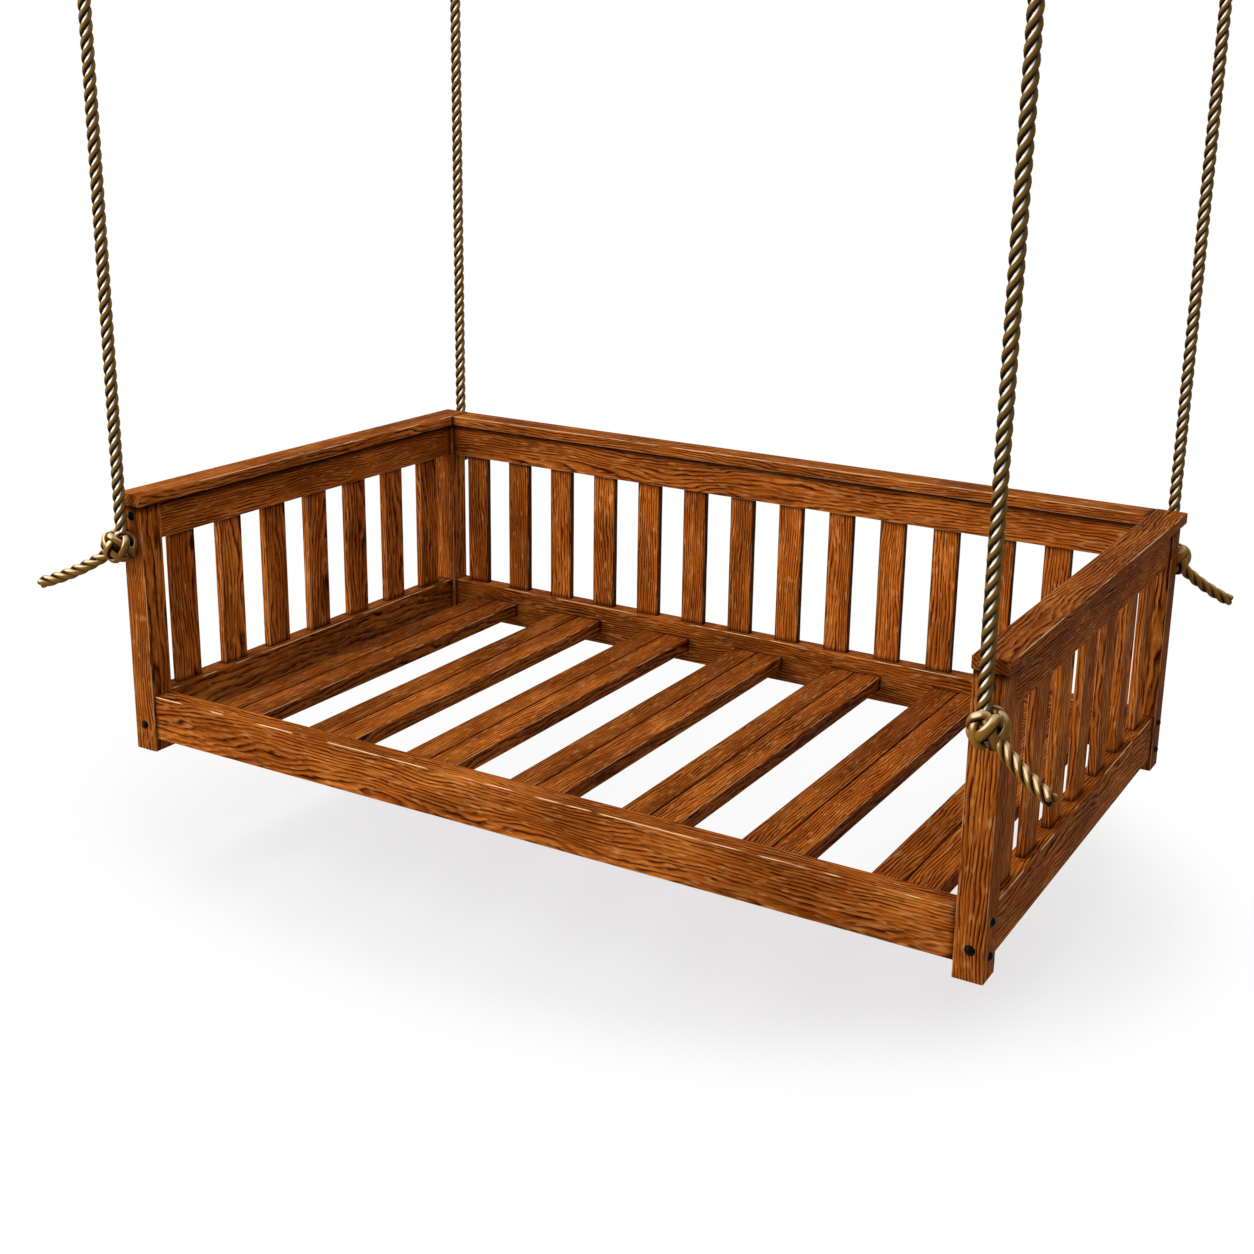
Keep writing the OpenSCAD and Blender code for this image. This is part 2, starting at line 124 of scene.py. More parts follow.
def makeStainedOak(name, halfSize, axis=None, centre=None, jointDepth=0.0, tone=1.0, seed=0, glued=False,
                   underCap=None, edgeWearAndHighlight=(0.46, 0.53, 0.85), edgeDarkening=0.80):
    # oak board, planed, stained golden brown and oiled half dull: thin dark rings that wander
    # along the board, pale streaks, painted highlight flecks and short open pores between them, paler edges where the
    # stain is rubbed thin and a painted highlight runs, and dark corners of painted shade and gathered stain in the
    # joints, with a painted shadow under the caps.
    # The grain runs along Z of the board's own frame, which is the boardCoord attribute
    # of a slat, or the turned and centred Object coordinates of a solid.
    s = stainedOak
    rand = random.Random(seed)
    material, tree = newMaterial(name)
    across, depth, along = halfSize
    isSlat = axis is None
    # each board is cut from another place in the log
    if isSlat:
        local = addNode(tree, "ShaderNodeAttribute", attribute_name="boardCoord").outputs["Vector"]
        boardSeed = addNode(tree, "ShaderNodeAttribute", attribute_name="boardSeed").outputs["Fac"]
        away = addNode(tree, "ShaderNodeVectorMath", {0: (3.7, 5.3, 2.9), "Scale": boardSeed}, operation="SCALE")
        seeded = addNode(tree, "ShaderNodeVectorMath", {0: local, 1: away}, operation="ADD")
        placed = addNode(tree, "ShaderNodeVectorMath", {0: away, 1: (0.0013, 0.0009, 0.0), 2: local},
                         operation="MULTIPLY_ADD")
    else:
        across, depth, along = {"X": (along, depth, across), "Y": (across, along, depth), "Z": halfSize}[axis]
        turn = {"X": (0, -math.pi / 2, 0), "Y": (math.pi / 2, 0, 0), "Z": (0, 0, 0)}[axis]
        turned = Matrix.Rotation(turn[1], 3, "Y") @ Matrix.Rotation(turn[0], 3, "X") @ centre
        objectPlace = addNode(tree, "ShaderNodeTexCoord").outputs["Object"]
        local = addNode(tree, "ShaderNodeMapping", {"Vector": objectPlace, "Location": -turned, "Rotation": turn})
        shift = Vector([rand.uniform(-3, 3) for _ in range(3)])
        seeded = addNode(tree, "ShaderNodeVectorMath", {0: local, 1: shift}, operation="ADD")
        placed = local
    slow = addNode(tree, "ShaderNodeMapping", {"Vector": seeded, "Scale": (1, 1, 0.26)})
    for scale, reach in s["wander"]:
        stray = addNode(tree, "ShaderNodeTexNoise", {"Vector": slow, "Scale": scale, "Detail": 1.0}).outputs["Color"]
        placed = addNode(tree, "ShaderNodeVectorMath", {0: stray, 1: (reach, reach, 0.0), 2: placed},
                         operation="MULTIPLY_ADD")
    # the heart of the log lies off one corner and runs at a slight slant
    heart = Vector((rand.choice((-1, 1)) * (across + rand.uniform(*s["heartAside"])),
                    -depth - rand.uniform(*s["heartBehind"]), 0))
    centred = addNode(tree, "ShaderNodeMapping", {
        "Vector": placed, "Location": -heart, "Rotation": (rand.uniform(*s["heartSlant"]), 0, 0)})
    rings = addNode(tree, "ShaderNodeTexWave", {"Vector": centred, "Scale": 0.314 / s["ringSpacing"]},
                    wave_type="RINGS", rings_direction="Z", wave_profile="SAW").outputs["Fac"]
    late, early = [setRamp(addNode(tree, "ShaderNodeValToRGB", {"Fac": rings}),
                           [(place, grey(level)) for place, level in s[wood]]) for wood in ("late", "early")]

    fine = addNode(tree, "ShaderNodeMapping", {"Vector": seeded, "Scale": (1, 1, 0.045)})
    fibre = addNode(tree, "ShaderNodeTexNoise", {"Vector": fine, "Scale": 260.0, "Detail": 2.5, "Roughness": 0.6})
    patch = addNode(tree, "ShaderNodeTexNoise", {"Vector": slow, "Scale": 15.0, "Detail": 2.0})
    fade = addNode(tree, "ShaderNodeTexNoise", {"Vector": slow, "Scale": 44.0, "Detail": 1.0})
    blend = addNode(tree, "ShaderNodeMath", {0: fibre, 1: 0.8, 2: patch}, operation="MULTIPLY_ADD")
    spread = addNode(tree, "ShaderNodeMapRange", {"Value": blend, "From Min": 0.62, "From Max": 1.20})
    colour = setRamp(addNode(tree, "ShaderNodeValToRGB", {"Fac": spread}), [
        (0.0, hexToLinear(s["deep"])), (0.45, hexToLinear(s["mid"])), (1.0, hexToLinear(s["light"]))])
    # the dark lines fade here and there
    broken = addNode(tree, "ShaderNodeMapRange", {"Value": fade, "From Min": 0.36, "From Max": 0.54, "To Min": 0.38})
    lines = addNode(tree, "ShaderNodeMath", {0: late, 1: broken}, operation="MULTIPLY")
    paler = addNode(tree, "ShaderNodeMath", {0: early, 1: fibre}, operation="MULTIPLY")
    marks = []
    for stretch, scale, detail, start, full, most in (s["streaks"], s["highlightFlecks"], s["pores"]):
        drawn = addNode(tree, "ShaderNodeMapping", {"Vector": seeded, "Scale": (1, 1, stretch)})
        noise = addNode(tree, "ShaderNodeTexNoise", {
            "Vector": drawn, "Scale": scale, "Detail": detail, "Roughness": 0.4})
        marks.append(addNode(tree, "ShaderNodeMapRange", {
            "Value": noise, "From Min": start, "From Max": full, "To Max": most}))
    streaks, highlightFlecks, pores = marks
    # pale streaks and the painted highlight flecks go over the rings
    for mask, colourKey in ((paler, "streak"), (lines, "line"), (streaks, "streak"), (highlightFlecks, "highlightFleck")):
        colour = addNode(tree, "ShaderNodeMix", {"Factor": mask, 6: colour, 7: hexToLinear(s[colourKey])},
                         data_type="RGBA").outputs[2]
    # the board's tone, which on some boards also paints the light and shade of their place, and patches darker and
    # paler at random
    shade = addNode(tree, "ShaderNodeMapRange", {
        "Value": patch, "From Min": 0.3, "From Max": 0.7,
        "To Min": s["patches"][0] * tone, "To Max": s["patches"][1] * tone})
    if isSlat:
        boardTone = addNode(tree, "ShaderNodeAttribute", attribute_name="boardTone").outputs["Fac"]
        shade = addNode(tree, "ShaderNodeMath", {0: shade, 1: boardTone}, operation="MULTIPLY")
    colour = addNode(tree, "ShaderNodeMix", {"Factor": 1.0, 6: colour, 7: shade}, data_type="RGBA",
                     blend_type="MULTIPLY").outputs[2]

    # a pale painted highlight runs along the long edges, broken here and there, where the stain is also rubbed thin
    sides = addNode(tree, "ShaderNodeSeparateXYZ", {
        0: addNode(tree, "ShaderNodeVectorMath", {0: local}, operation="ABSOLUTE")})
    sideways = sides.outputs[0]
    if glued:
        # only the outer edge of each strip gets the rubbed stain and painted highlight, and the inner one is dark with
        # glue, stain and painted shade
        strip = addNode(tree, "ShaderNodeAttribute", attribute_name="stripSide").outputs["Fac"]
        facing = addNode(tree, "ShaderNodeMath", {0: strip, 1: 2.0, 2: -1.0}, operation="MULTIPLY_ADD")
        sideways = addNode(tree, "ShaderNodeMath", {
            0: addNode(tree, "ShaderNodeSeparateXYZ", {0: local}), 1: facing}, operation="MULTIPLY")
    nearX, nearY = [addNode(tree, "ShaderNodeMapRange", {
        "Value": place, "From Min": half - s["arrisWearAndHighlightBand"][0], "From Max": half - s["arrisWearAndHighlightBand"][1]},
        interpolation_type="SMOOTHSTEP") for place, half in ((sideways, across), (sides.outputs[1], depth))]
    arrisWearAndHighlight = addNode(tree, "ShaderNodeMath", {0: nearX, 1: nearY}, operation="MULTIPLY")
    brokenWearAndHighlight = addNode(tree, "ShaderNodeMapRange", {
        "Value": fade, "From Min": edgeWearAndHighlight[0], "From Max": edgeWearAndHighlight[1], "To Max": edgeWearAndHighlight[2]})
    wearAndHighlight = addNode(tree, "ShaderNodeMath", {0: arrisWearAndHighlight, 1: brokenWearAndHighlight}, operation="MULTIPLY")
    if glued:
        wearAndHighlight = addNode(tree, "ShaderNodeMath", {0: wearAndHighlight, 1: strip}, operation="MULTIPLY", use_clamp=True)
    stainsAndPaintedLight = [(pores, "pore"), (wearAndHighlight, "arrisWearAndHighlight")]
    if isSlat:
        # the slats are darkened along their long edges, but not where they carry the rubbed stain and painted
        # highlight
        edgeDark = addNode(tree, "ShaderNodeMapRange", {
            "Value": sideways, "From Min": across - s["edgeDarkBand"][0], "From Max": across - s["edgeDarkBand"][1],
            "To Max": edgeDarkening}, interpolation_type="SMOOTHSTEP")
        kept = addNode(tree, "ShaderNodeMath", {0: edgeDark, 1: wearAndHighlight}, operation="SUBTRACT", use_clamp=True)
        if glued:
            dull = addNode(tree, "ShaderNodeMath", {0: strip, 1: -0.7, 2: 1.0}, operation="MULTIPLY_ADD")
            kept = addNode(tree, "ShaderNodeMath", {0: kept, 1: dull}, operation="MULTIPLY", use_clamp=True)
        stainsAndPaintedLight.append((kept, "joint"))
    # painted shade, with stain gathered in it, darkens a glued seam and where a board goes into the next, and a
    # painted shadow falls under the caps
    darkCorners = []
    if glued:
        reach, dark = s["seam"]
        darkCorners.append((sideways, -across, reach - across, dark, 0.0))
    # the caps' painted shadow on the top of the posts and top rails
    if underCap is not None:
        below, above, dark = s["capShadow"]
        high = addNode(tree, "ShaderNodeSeparateXYZ", {0: objectPlace}).outputs[2]
        darkCorners.append((high, underCap - below, underCap - above, 0.0, dark))
    if jointDepth:
        before, behind, dark = s["boardEnd"]
        shoulder = along - jointDepth
        darkCorners.append((sides.outputs[2], shoulder - before, shoulder + behind, 0.0, dark))
    for place, start, end, startDark, endDark in darkCorners:
        stainsAndPaintedLight.append((addNode(tree, "ShaderNodeMapRange", {
            "Value": place, "From Min": start, "From Max": end, "To Min": startDark, "To Max": endDark},
            interpolation_type="SMOOTHSTEP"), "joint"))
    for mask, colourKey in stainsAndPaintedLight:
        colour = addNode(tree, "ShaderNodeMix", {"Factor": mask, 6: colour, 7: hexToLinear(s[colourKey])},
                         data_type="RGBA").outputs[2]

    rough = addNode(tree, "ShaderNodeMapRange", {
        "Value": fibre, "From Min": 0.3, "From Max": 0.7,
        "To Min": s["roughness"][1], "To Max": s["roughness"][0]})
    height = addNode(tree, "ShaderNodeMath", {0: pores, 1: -1.0, 2: fibre}, operation="MULTIPLY_ADD")
    waved = addNode(tree, "ShaderNodeMath", {0: lines, 1: -0.8, 2: height}, operation="MULTIPLY_ADD")
    bump = addNode(tree, "ShaderNodeBump", {"Strength": 0.5, "Distance": 0.0009, "Height": waved})
    shader = addNode(tree, "ShaderNodeBsdfPrincipled", {
        "Base Color": colour, "Roughness": rough, "IOR": 1.5, "Specular IOR Level": 0.0,
        "Coat Weight": 0.03, "Coat Roughness": 0.24, "Normal": bump})
    addNode(tree, "ShaderNodeOutputMaterial", {"Surface": shader})
    return material


def paintSolid(name, material):
    node = nodes[name]
    node.data.materials.clear()
    node.data.materials.append(material)


capBottom = feet + 0.586
boardLooks = {
    # by how a board's name starts: the way of its grain, how pale it is, which also paints light and shade, darker on
    # boards that lie in shade and paler on those the lamps reach less, how far its ends go into the next board, and
    # from which level of the noise to which an edge gets the rubbed stain and painted highlight, and how much
    "post_rf": ("Z", 1.10, 0.0, (0.46, 0.53, 0.45)),
    "post_br": ("Z", 0.84, 0.0, (0.46, 0.53, 0.45)),
    "post": ("Z", 1.0, 0.0, (0.46, 0.53, 0.45)),
    "low_rail_left": ("Y", 0.80, 0.016, (0.46, 0.53, 0.85)),
    "low_rail_right": ("Y", 0.98, 0.016, (0.46, 0.53, 0.85)),
    "low_rail": ("X", 0.98, 0.016, (0.46, 0.53, 0.85)),
    "top_rail_back": ("X", 1.08, 0.016, (0.46, 0.53, 0.60)),
    "top_rail": ("Y", 0.98, 0.016, (0.46, 0.53, 0.60)),
    "cap_right": ("Y", 0.84, 0.0, (0.42, 0.53, 0.75)),
    "cap_left": ("Y", 0.96, 0.0, (0.42, 0.53, 0.75)),
    "cap_back": ("X", 0.96, 0.001, (0.33, 0.50, 0.62)),
}
for number, name in enumerate(sorted(nodes)):
    start = next((start for start in boardLooks if name.startswith(start)), None)
    if start is None:
        continue
    grain, tone, hidden, edgeWearAndHighlight = boardLooks[start]
    low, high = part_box(name)
    paintSolid(name, makeStainedOak(
        "stained_oak_" + name, (high - low) / 2, grain, (low + high) / 2, hidden, tone, seed=number + 11, edgeWearAndHighlight=edgeWearAndHighlight,
        underCap=capBottom if name.startswith(("post", "top_rail")) else None))
print("boards painted")


ropeLook = {
    # the painted shade in the furrows, near black
    "furrowShade": "#0a0300",
    "furrowTurn": 0.60,  # how far, in radians, a strand's lit crown is turned away from the painted shade of its furrow, so its lower flank is shaded
    # furrow makes the furrows' painted shade less dark, paler is painted light that makes the colour grow paler from
    # the left front to the back right, where the lamps reach the knots less; high is the painted highlight's colour,
    # and the next two keys the level from which it comes up and how strong a painted highlight on the strands' upper
    # crowns gets
    "rope": {"high": "#fff8e8", "body": "#7d5c27", "shade": "#412b0c", "furrow": 0.0, "paler": (1.0, 1.0),
             "highlightFrom": 0.875, "topHighlight": 0.0, "roughness": (0.28, 0.42), "yarnDepth": 0.07},
    "strand": {"high": "#f6dcae", "body": "#8a6024", "shade": "#4c2f0b", "furrow": 0.08, "paler": (0.88, 1.40),
               "highlightFrom": 0.915, "topHighlight": 0.55, "roughness": (0.36, 0.50), "yarnDepth": 0.06},
    # the way a strand's surface must face to carry the painted highlight, from the front and, mirrored, from the back:
    # its X for the left ropes and for the right ones, its Y and its Z
    "highlightX": (0.11, -0.27), "highlightY": -0.69, "highlightZ": 0.62,
    "yarns": 8, "yarnTurn": 0.189,  # yarns in a strand, and metres of strand in which one goes once round it
}


def makeTwistedRope(name, kind):
    # waxed three-strand rope of a tan fibre, laid right-handed: fine yarns wind round each strand
    # against the lay, the furrows under the strands and their lower flanks carry a nearly black painted shade, and
    # where the strands face a set way they carry a painted white highlight, on the knots also along the strands' upper
    # crowns
    s = {**ropeLook, **ropeLook[kind]}
    material, tree = newMaterial(name)
    onStrand = addNode(tree, "ShaderNodeSeparateXYZ", {0: addNode(tree, "ShaderNodeUVMap", uv_map="UVMap")})
    lean = addNode(tree, "ShaderNodeMath", {0: onStrand.outputs[1], 1: 1 / s["yarnTurn"], 2: onStrand.outputs[0]},
                   operation="MULTIPLY_ADD")
    turn = addNode(tree, "ShaderNodeMath", {0: lean, 1: s["yarns"] * math.tau}, operation="MULTIPLY")
    wave = addNode(tree, "ShaderNodeMath", {0: turn}, operation="SINE")
    yarn = addNode(tree, "ShaderNodeMapRange", {"Value": wave, "From Min": -1.0})
    stretched = addNode(tree, "ShaderNodeCombineXYZ", {0: lean, 1: onStrand.outputs[1]})
    scaled = addNode(tree, "ShaderNodeMapping", {"Vector": stretched, "Scale": (60, 30, 1)})
    fibre = addNode(tree, "ShaderNodeTexNoise", {"Vector": scaled, "Scale": 1.0, "Detail": 2.0, "Roughness": 0.6})
    depth = addNode(tree, "ShaderNodeAttribute", attribute_name="strandDepth").outputs["Fac"]
    mixed = addNode(tree, "ShaderNodeMath", {0: yarn, 1: s["yarnDepth"], 2: depth}, operation="MULTIPLY_ADD")
    mixed = addNode(tree, "ShaderNodeMath", {0: fibre, 1: 0.16, 2: mixed}, operation="MULTIPLY_ADD")
    # painted shade: the strands go near black in the furrows and on their lower flanks
    colour = setRamp(addNode(tree, "ShaderNodeValToRGB", {"Fac": mixed}), [
        (level - s["furrow"], hexToLinear(s[tint])) for level, tint in (
            (0.55, "furrowShade"), (0.72, "shade"), (0.97, "body"))])

    coords = addNode(tree, "ShaderNodeTexCoord").outputs
    coarse = addNode(tree, "ShaderNodeTexNoise", {"Vector": coords["Object"], "Scale": 22.0, "Detail": 2.0})
    weatherAndPaintedLight = addNode(tree, "ShaderNodeMapRange", {
        "Value": coarse, "From Min": 0.3, "From Max": 0.7, "To Min": 0.84, "To Max": 1.14})
    # painted light: the knots are made paler towards the back and the right, where the lamps reach them less
    backRight = addNode(tree, "ShaderNodeVectorMath", {0: coords["Object"], 1: (0.35, 1.0, 0.0)},
                        operation="DOT_PRODUCT").outputs["Value"]
    paler = addNode(tree, "ShaderNodeMapRange", {
        "Value": backRight, "From Min": -0.98, "From Max": 1.085, "To Min": s["paler"][0], "To Max": s["paler"][1]})
    weatherAndPaintedLight = addNode(tree, "ShaderNodeMath", {0: weatherAndPaintedLight, 1: paler}, operation="MULTIPLY")
    toned = addNode(tree, "ShaderNodeMix", {"Factor": 1.0, 6: colour, 7: weatherAndPaintedLight}, data_type="RGBA",
                    blend_type="MULTIPLY").outputs[2]
    # the painted highlight comes where a strand's surface faces a set way, from the front or, mirrored, from the back
    highlightX = addNode(tree, "ShaderNodeMapRange", {
        "Value": addNode(tree, "ShaderNodeSeparateXYZ", {0: coords["Object"]}),
        "From Min": -0.5, "From Max": 0.5, "To Min": s["highlightX"][0], "To Max": s["highlightX"][1]})
    lights = []
    for side in (1, -1):
        way = addNode(tree, "ShaderNodeCombineXYZ", {0: highlightX, 1: s["highlightY"] * side, 2: s["highlightZ"]})
        way = addNode(tree, "ShaderNodeVectorMath", {0: way}, operation="NORMALIZE")
        lights.append(addNode(tree, "ShaderNodeVectorMath", {0: coords["Normal"], 1: way},
                              operation="DOT_PRODUCT").outputs["Value"])
    facing = addNode(tree, "ShaderNodeMath", {0: lights[0], 1: lights[1]}, operation="MAXIMUM")
    highlightFacing = addNode(tree, "ShaderNodeMath", {0: fibre, 1: 0.05, 2: facing}, operation="MULTIPLY_ADD")
    paintedHighlight = addNode(tree, "ShaderNodeMapRange", {
        "Value": highlightFacing, "From Min": s["highlightFrom"], "From Max": s["highlightFrom"] + 0.09, "To Max": 0.95},
        interpolation_type="SMOOTHSTEP")
    above = addNode(tree, "ShaderNodeMapRange", {"Value": depth, "From Min": 0.45, "From Max": 0.70},
                    interpolation_type="SMOOTHSTEP")
    crown = addNode(tree, "ShaderNodeMath", {0: paintedHighlight, 1: above}, operation="MULTIPLY")
    # a painted highlight along the strands' upper crowns, where they face up
    if s["topHighlight"]:
        upwards = addNode(tree, "ShaderNodeSeparateXYZ", {0: coords["Normal"]}).outputs[2]
        topSide = addNode(tree, "ShaderNodeMapRange", {
            "Value": upwards, "From Min": 0.40, "From Max": 0.80, "To Max": s["topHighlight"]},
            interpolation_type="SMOOTHSTEP")
        ridge = addNode(tree, "ShaderNodeMapRange", {"Value": depth, "From Min": 0.85, "From Max": 0.99},
                        interpolation_type="SMOOTHSTEP")
        topHighlit = addNode(tree, "ShaderNodeMath", {0: topSide, 1: ridge}, operation="MULTIPLY")
        crown = addNode(tree, "ShaderNodeMath", {0: crown, 1: topHighlit}, operation="MAXIMUM")
    lit = addNode(tree, "ShaderNodeMix", {"Factor": crown, 6: toned, 7: hexToLinear(s["high"])},
                  data_type="RGBA").outputs[2]

    rough = addNode(tree, "ShaderNodeMapRange", {
        "Value": fibre, "To Min": s["roughness"][0], "To Max": s["roughness"][1]})
    height = addNode(tree, "ShaderNodeMath", {0: fibre, 1: 0.5, 2: yarn}, operation="MULTIPLY_ADD")
    bump = addNode(tree, "ShaderNodeBump", {"Strength": s["yarnDepth"] * 5, "Distance": 0.0006, "Height": height})
    shader = addNode(tree, "ShaderNodeBsdfPrincipled", {
        "Base Color": lit, "Roughness": rough, "IOR": 1.5, "Specular IOR Level": 0.0,
        "Coat Weight": 0.12, "Coat Roughness": 0.18, "Normal": bump})
    addNode(tree, "ShaderNodeOutputMaterial", {"Surface": shader})
    return material


ropeMaterial = makeTwistedRope("waxed_three_strand_rope", "rope")
knotMaterial = makeTwistedRope("waxed_rope_strand", "strand")

ropeSizes = {"radius": 0.014, "x": 1.014, "y": 0.6275, "lay": 0.078, "bendZ": 0.614 + feet,
             "topZ": -0.3457, "throatZ": -0.2157, "eyeZ": -0.1157, "eyeRadius": 0.034,
             "heartHalf": 0.011, "tuckTurn": 0.062}  # half the bent stretch, and metres to a turn of the tucks


def spaced(points, step):
    # the same line with its points an even step apart
    points = [Vector(p) for p in points]
    lengths = [0.0]
    for a, b in zip(points, points[1:]):
        lengths.append(lengths[-1] + (b - a).length)
    count = max(2, round(lengths[-1] / step) + 1)
    out, i = [], 0
    for k in range(count):
        d = lengths[-1] * k / (count - 1)
        while i < len(points) - 2 and lengths[i + 1] < d:
            i += 1
        t = (d - lengths[i]) / max(1e-9, lengths[i + 1] - lengths[i])
        out.append(points[i].lerp(points[i + 1], min(1.0, t)))
    return out, lengths[-1]


def tangentsOf(points, closed=False):
    count = len(points)
    if closed:
        return [(points[(i + 1) % count] - points[i - 1]).normalized() for i in range(count)]
    return [(points[min(i + 1, count - 1)] - points[max(i - 1, 0)]).normalized() for i in range(count)]


def carriedNormals(tangents):
    # normals that are carried along the line without twist
    first = Vector((1, 0, 0))
    if abs(tangents[0].dot(first)) > 0.9:
        first = Vector((0, 1, 0))
    normals = [(first - tangents[0] * first.dot(tangents[0])).normalized()]
    for before, t in zip(tangents, tangents[1:]):
        n = before.rotation_difference(t) @ normals[-1]
        normals.append((n - t * n.dot(t)).normalized())
    return normals


def addTube(mesh, centres, radii, outward, sides=12, closed=False, ends=True, spread=1.0, upperSide=1, lift=1.0):
    # one strand, with the way out of the rope known at each ring; spread makes it wide and flat,
    # upperSide says which flank is the upper one, away from the painted shade of the furrow, and a lift below 1
    # gives a strand that lies deep inside more painted shade
    uvLayer, depthLayer = mesh.loops.layers.uv["UVMap"], mesh.verts.layers.float["strandDepth"]
    tangents = tangentsOf(centres, closed)
    rings, places, count = [], [], len(centres)
    travelled = 0.0
    for i, centre in enumerate(centres):
        if i:
            travelled += (centres[i] - centres[i - 1]).length
        t = tangents[i]
        out = outward[i] - t * outward[i].dot(t)
        out = out.normalized() if out.length > 1e-6 else t.orthogonal().normalized()
        side = t.cross(out)
        ring = []
        for j in range(sides):
            a = math.tau * j / sides
            v = mesh.verts.new(centre + radii[i] * (math.cos(a) / spread * out + math.sin(a) * spread * side))
            # strandDepth holds the painted shade: darker towards the lower flank and into the furrow
            v[depthLayer] = lift * (0.5 + 0.5 * math.cos(a + upperSide * ropeLook["furrowTurn"]))
            ring.append(v)
        rings.append(ring)
        places.append(travelled)
    for i in range(count if closed else count - 1):
        k = (i + 1) % count
        end = places[k] if k else places[-1] + (centres[0] - centres[-1]).length
        for j in range(sides):
            m = (j + 1) % sides
            face = mesh.faces.new((rings[i][j], rings[i][m], rings[k][m], rings[k][j]))
            face.smooth = True
            for loop, uv in zip(face.loops, ((j / sides, places[i]), ((j + 1) / sides, places[i]),
                                             ((j + 1) / sides, end), (j / sides, end))):
                loop[uvLayer].uv = uv
    if ends and not closed:
        for i, sign in ((0, -1), (count - 1, 1)):
            previous = rings[i]
            for rise, shrink in ((0.45, 0.86), (0.8, 0.55)):
                ring = []
                for v in rings[i]:
                    w = mesh.verts.new(centres[i] + (v.co - centres[i]) * shrink
                                       + tangents[i] * sign * radii[i] * rise * 0.7)
                    w[depthLayer] = max(v[depthLayer], 0.75 * rise)  # a cut end gets less painted shade
                    ring.append(w)
                for j in range(sides):
                    m = (j + 1) % sides
                    quad = (previous[j], previous[m], ring[m], ring[j])
                    face = mesh.faces.new(quad if sign > 0 else quad[::-1])
                    face.smooth = True
                    for loop in face.loops:
                        loop[uvLayer].uv = (j / sides, places[i])
                previous = ring
            face = mesh.faces.new(previous if sign > 0 else previous[::-1])
            face.smooth = True
            for loop in face.loops:
                loop[uvLayer].uv = (0.5, places[i])


def startMesh():
    mesh = bmesh.new()
    mesh.loops.layers.uv.new("UVMap")
    mesh.verts.layers.float.new("strandDepth")
    return mesh


def finishMesh(mesh, name, material):
    bmesh.ops.recalc_face_normals(mesh, faces=mesh.faces)
    data = bpy.data.meshes.new(name)
    mesh.to_mesh(data)
    mesh.free()
    data.materials.append(material)
    return placeInScene(name, data)


def layRope(mesh, route, radius, phase=0.0, step=0.004, swell=None, sides=12, ends=True, turnFrom=0.0, upperSide=1):
    # three strands laid right-handed along a route; phase is the turn at the route's start
    points, length = spaced(route, step)
    tangents = tangentsOf(points)
    normals = carriedNormals(tangents)
    for strand in range(3):
        centres, radii, outward = [], [], []
        for i, p in enumerate(points):
            d = length * i / (len(points) - 1)
            a = phase + math.tau * ((d + turnFrom) / ropeSizes["lay"] + strand / 3)
            grow = swell(d / length) if swell else 1.0
            out = math.cos(a) * normals[i] + math.sin(a) * tangents[i].cross(normals[i])
            centres.append(p + out * radius * 0.492 * grow)
            radii.append(radius * 0.508 * grow)
            outward.append(out)
        addTube(mesh, centres, radii, outward, sides=sides, ends=ends, upperSide=upperSide)


def ropeAt(sx, sy, z):
    return Vector((sx * ropeSizes["x"], sy * ropeSizes["y"], z))


def hangingRope(corner, sx, sy):
    mesh = startMesh()
    low, high = ropeSizes["bendZ"], ropeSizes["throatZ"]
    route = [ropeAt(sx, sy, low + (high - low) * i / 32) for i in range(33)]
    layRope(mesh, route, ropeSizes["radius"], ends=False)
    piece = finishMesh(mesh, "hanging_rope_" + corner, ropeMaterial)
    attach(piece, f"rope_{corner}_hanging")
    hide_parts(f"rope_{corner}")
    return piece, route


def ropeHeart(corner, sx, sy):
    # the stretch that bends over the cap's edge, a little thinner than the rope on either side
    mesh = startMesh()
    z, half = ropeSizes["bendZ"], ropeSizes["heartHalf"]
    layRope(mesh, [ropeAt(sx, sy, z - half), ropeAt(sx, sy, z + half)], ropeSizes["radius"] * 0.99,
            turnFrom=-half, swell=lambda t: 0.82 + 0.18 * math.sin(math.pi * t) ** 0.7, step=0.0022)
    piece = finishMesh(mesh, "rope_over_cap_" + corner, ropeMaterial)
    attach(piece, "bend_lf" if corner == "lf" else f"rope_{corner}_hanging")
    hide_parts(f"rope_bend_{corner}")
    return piece


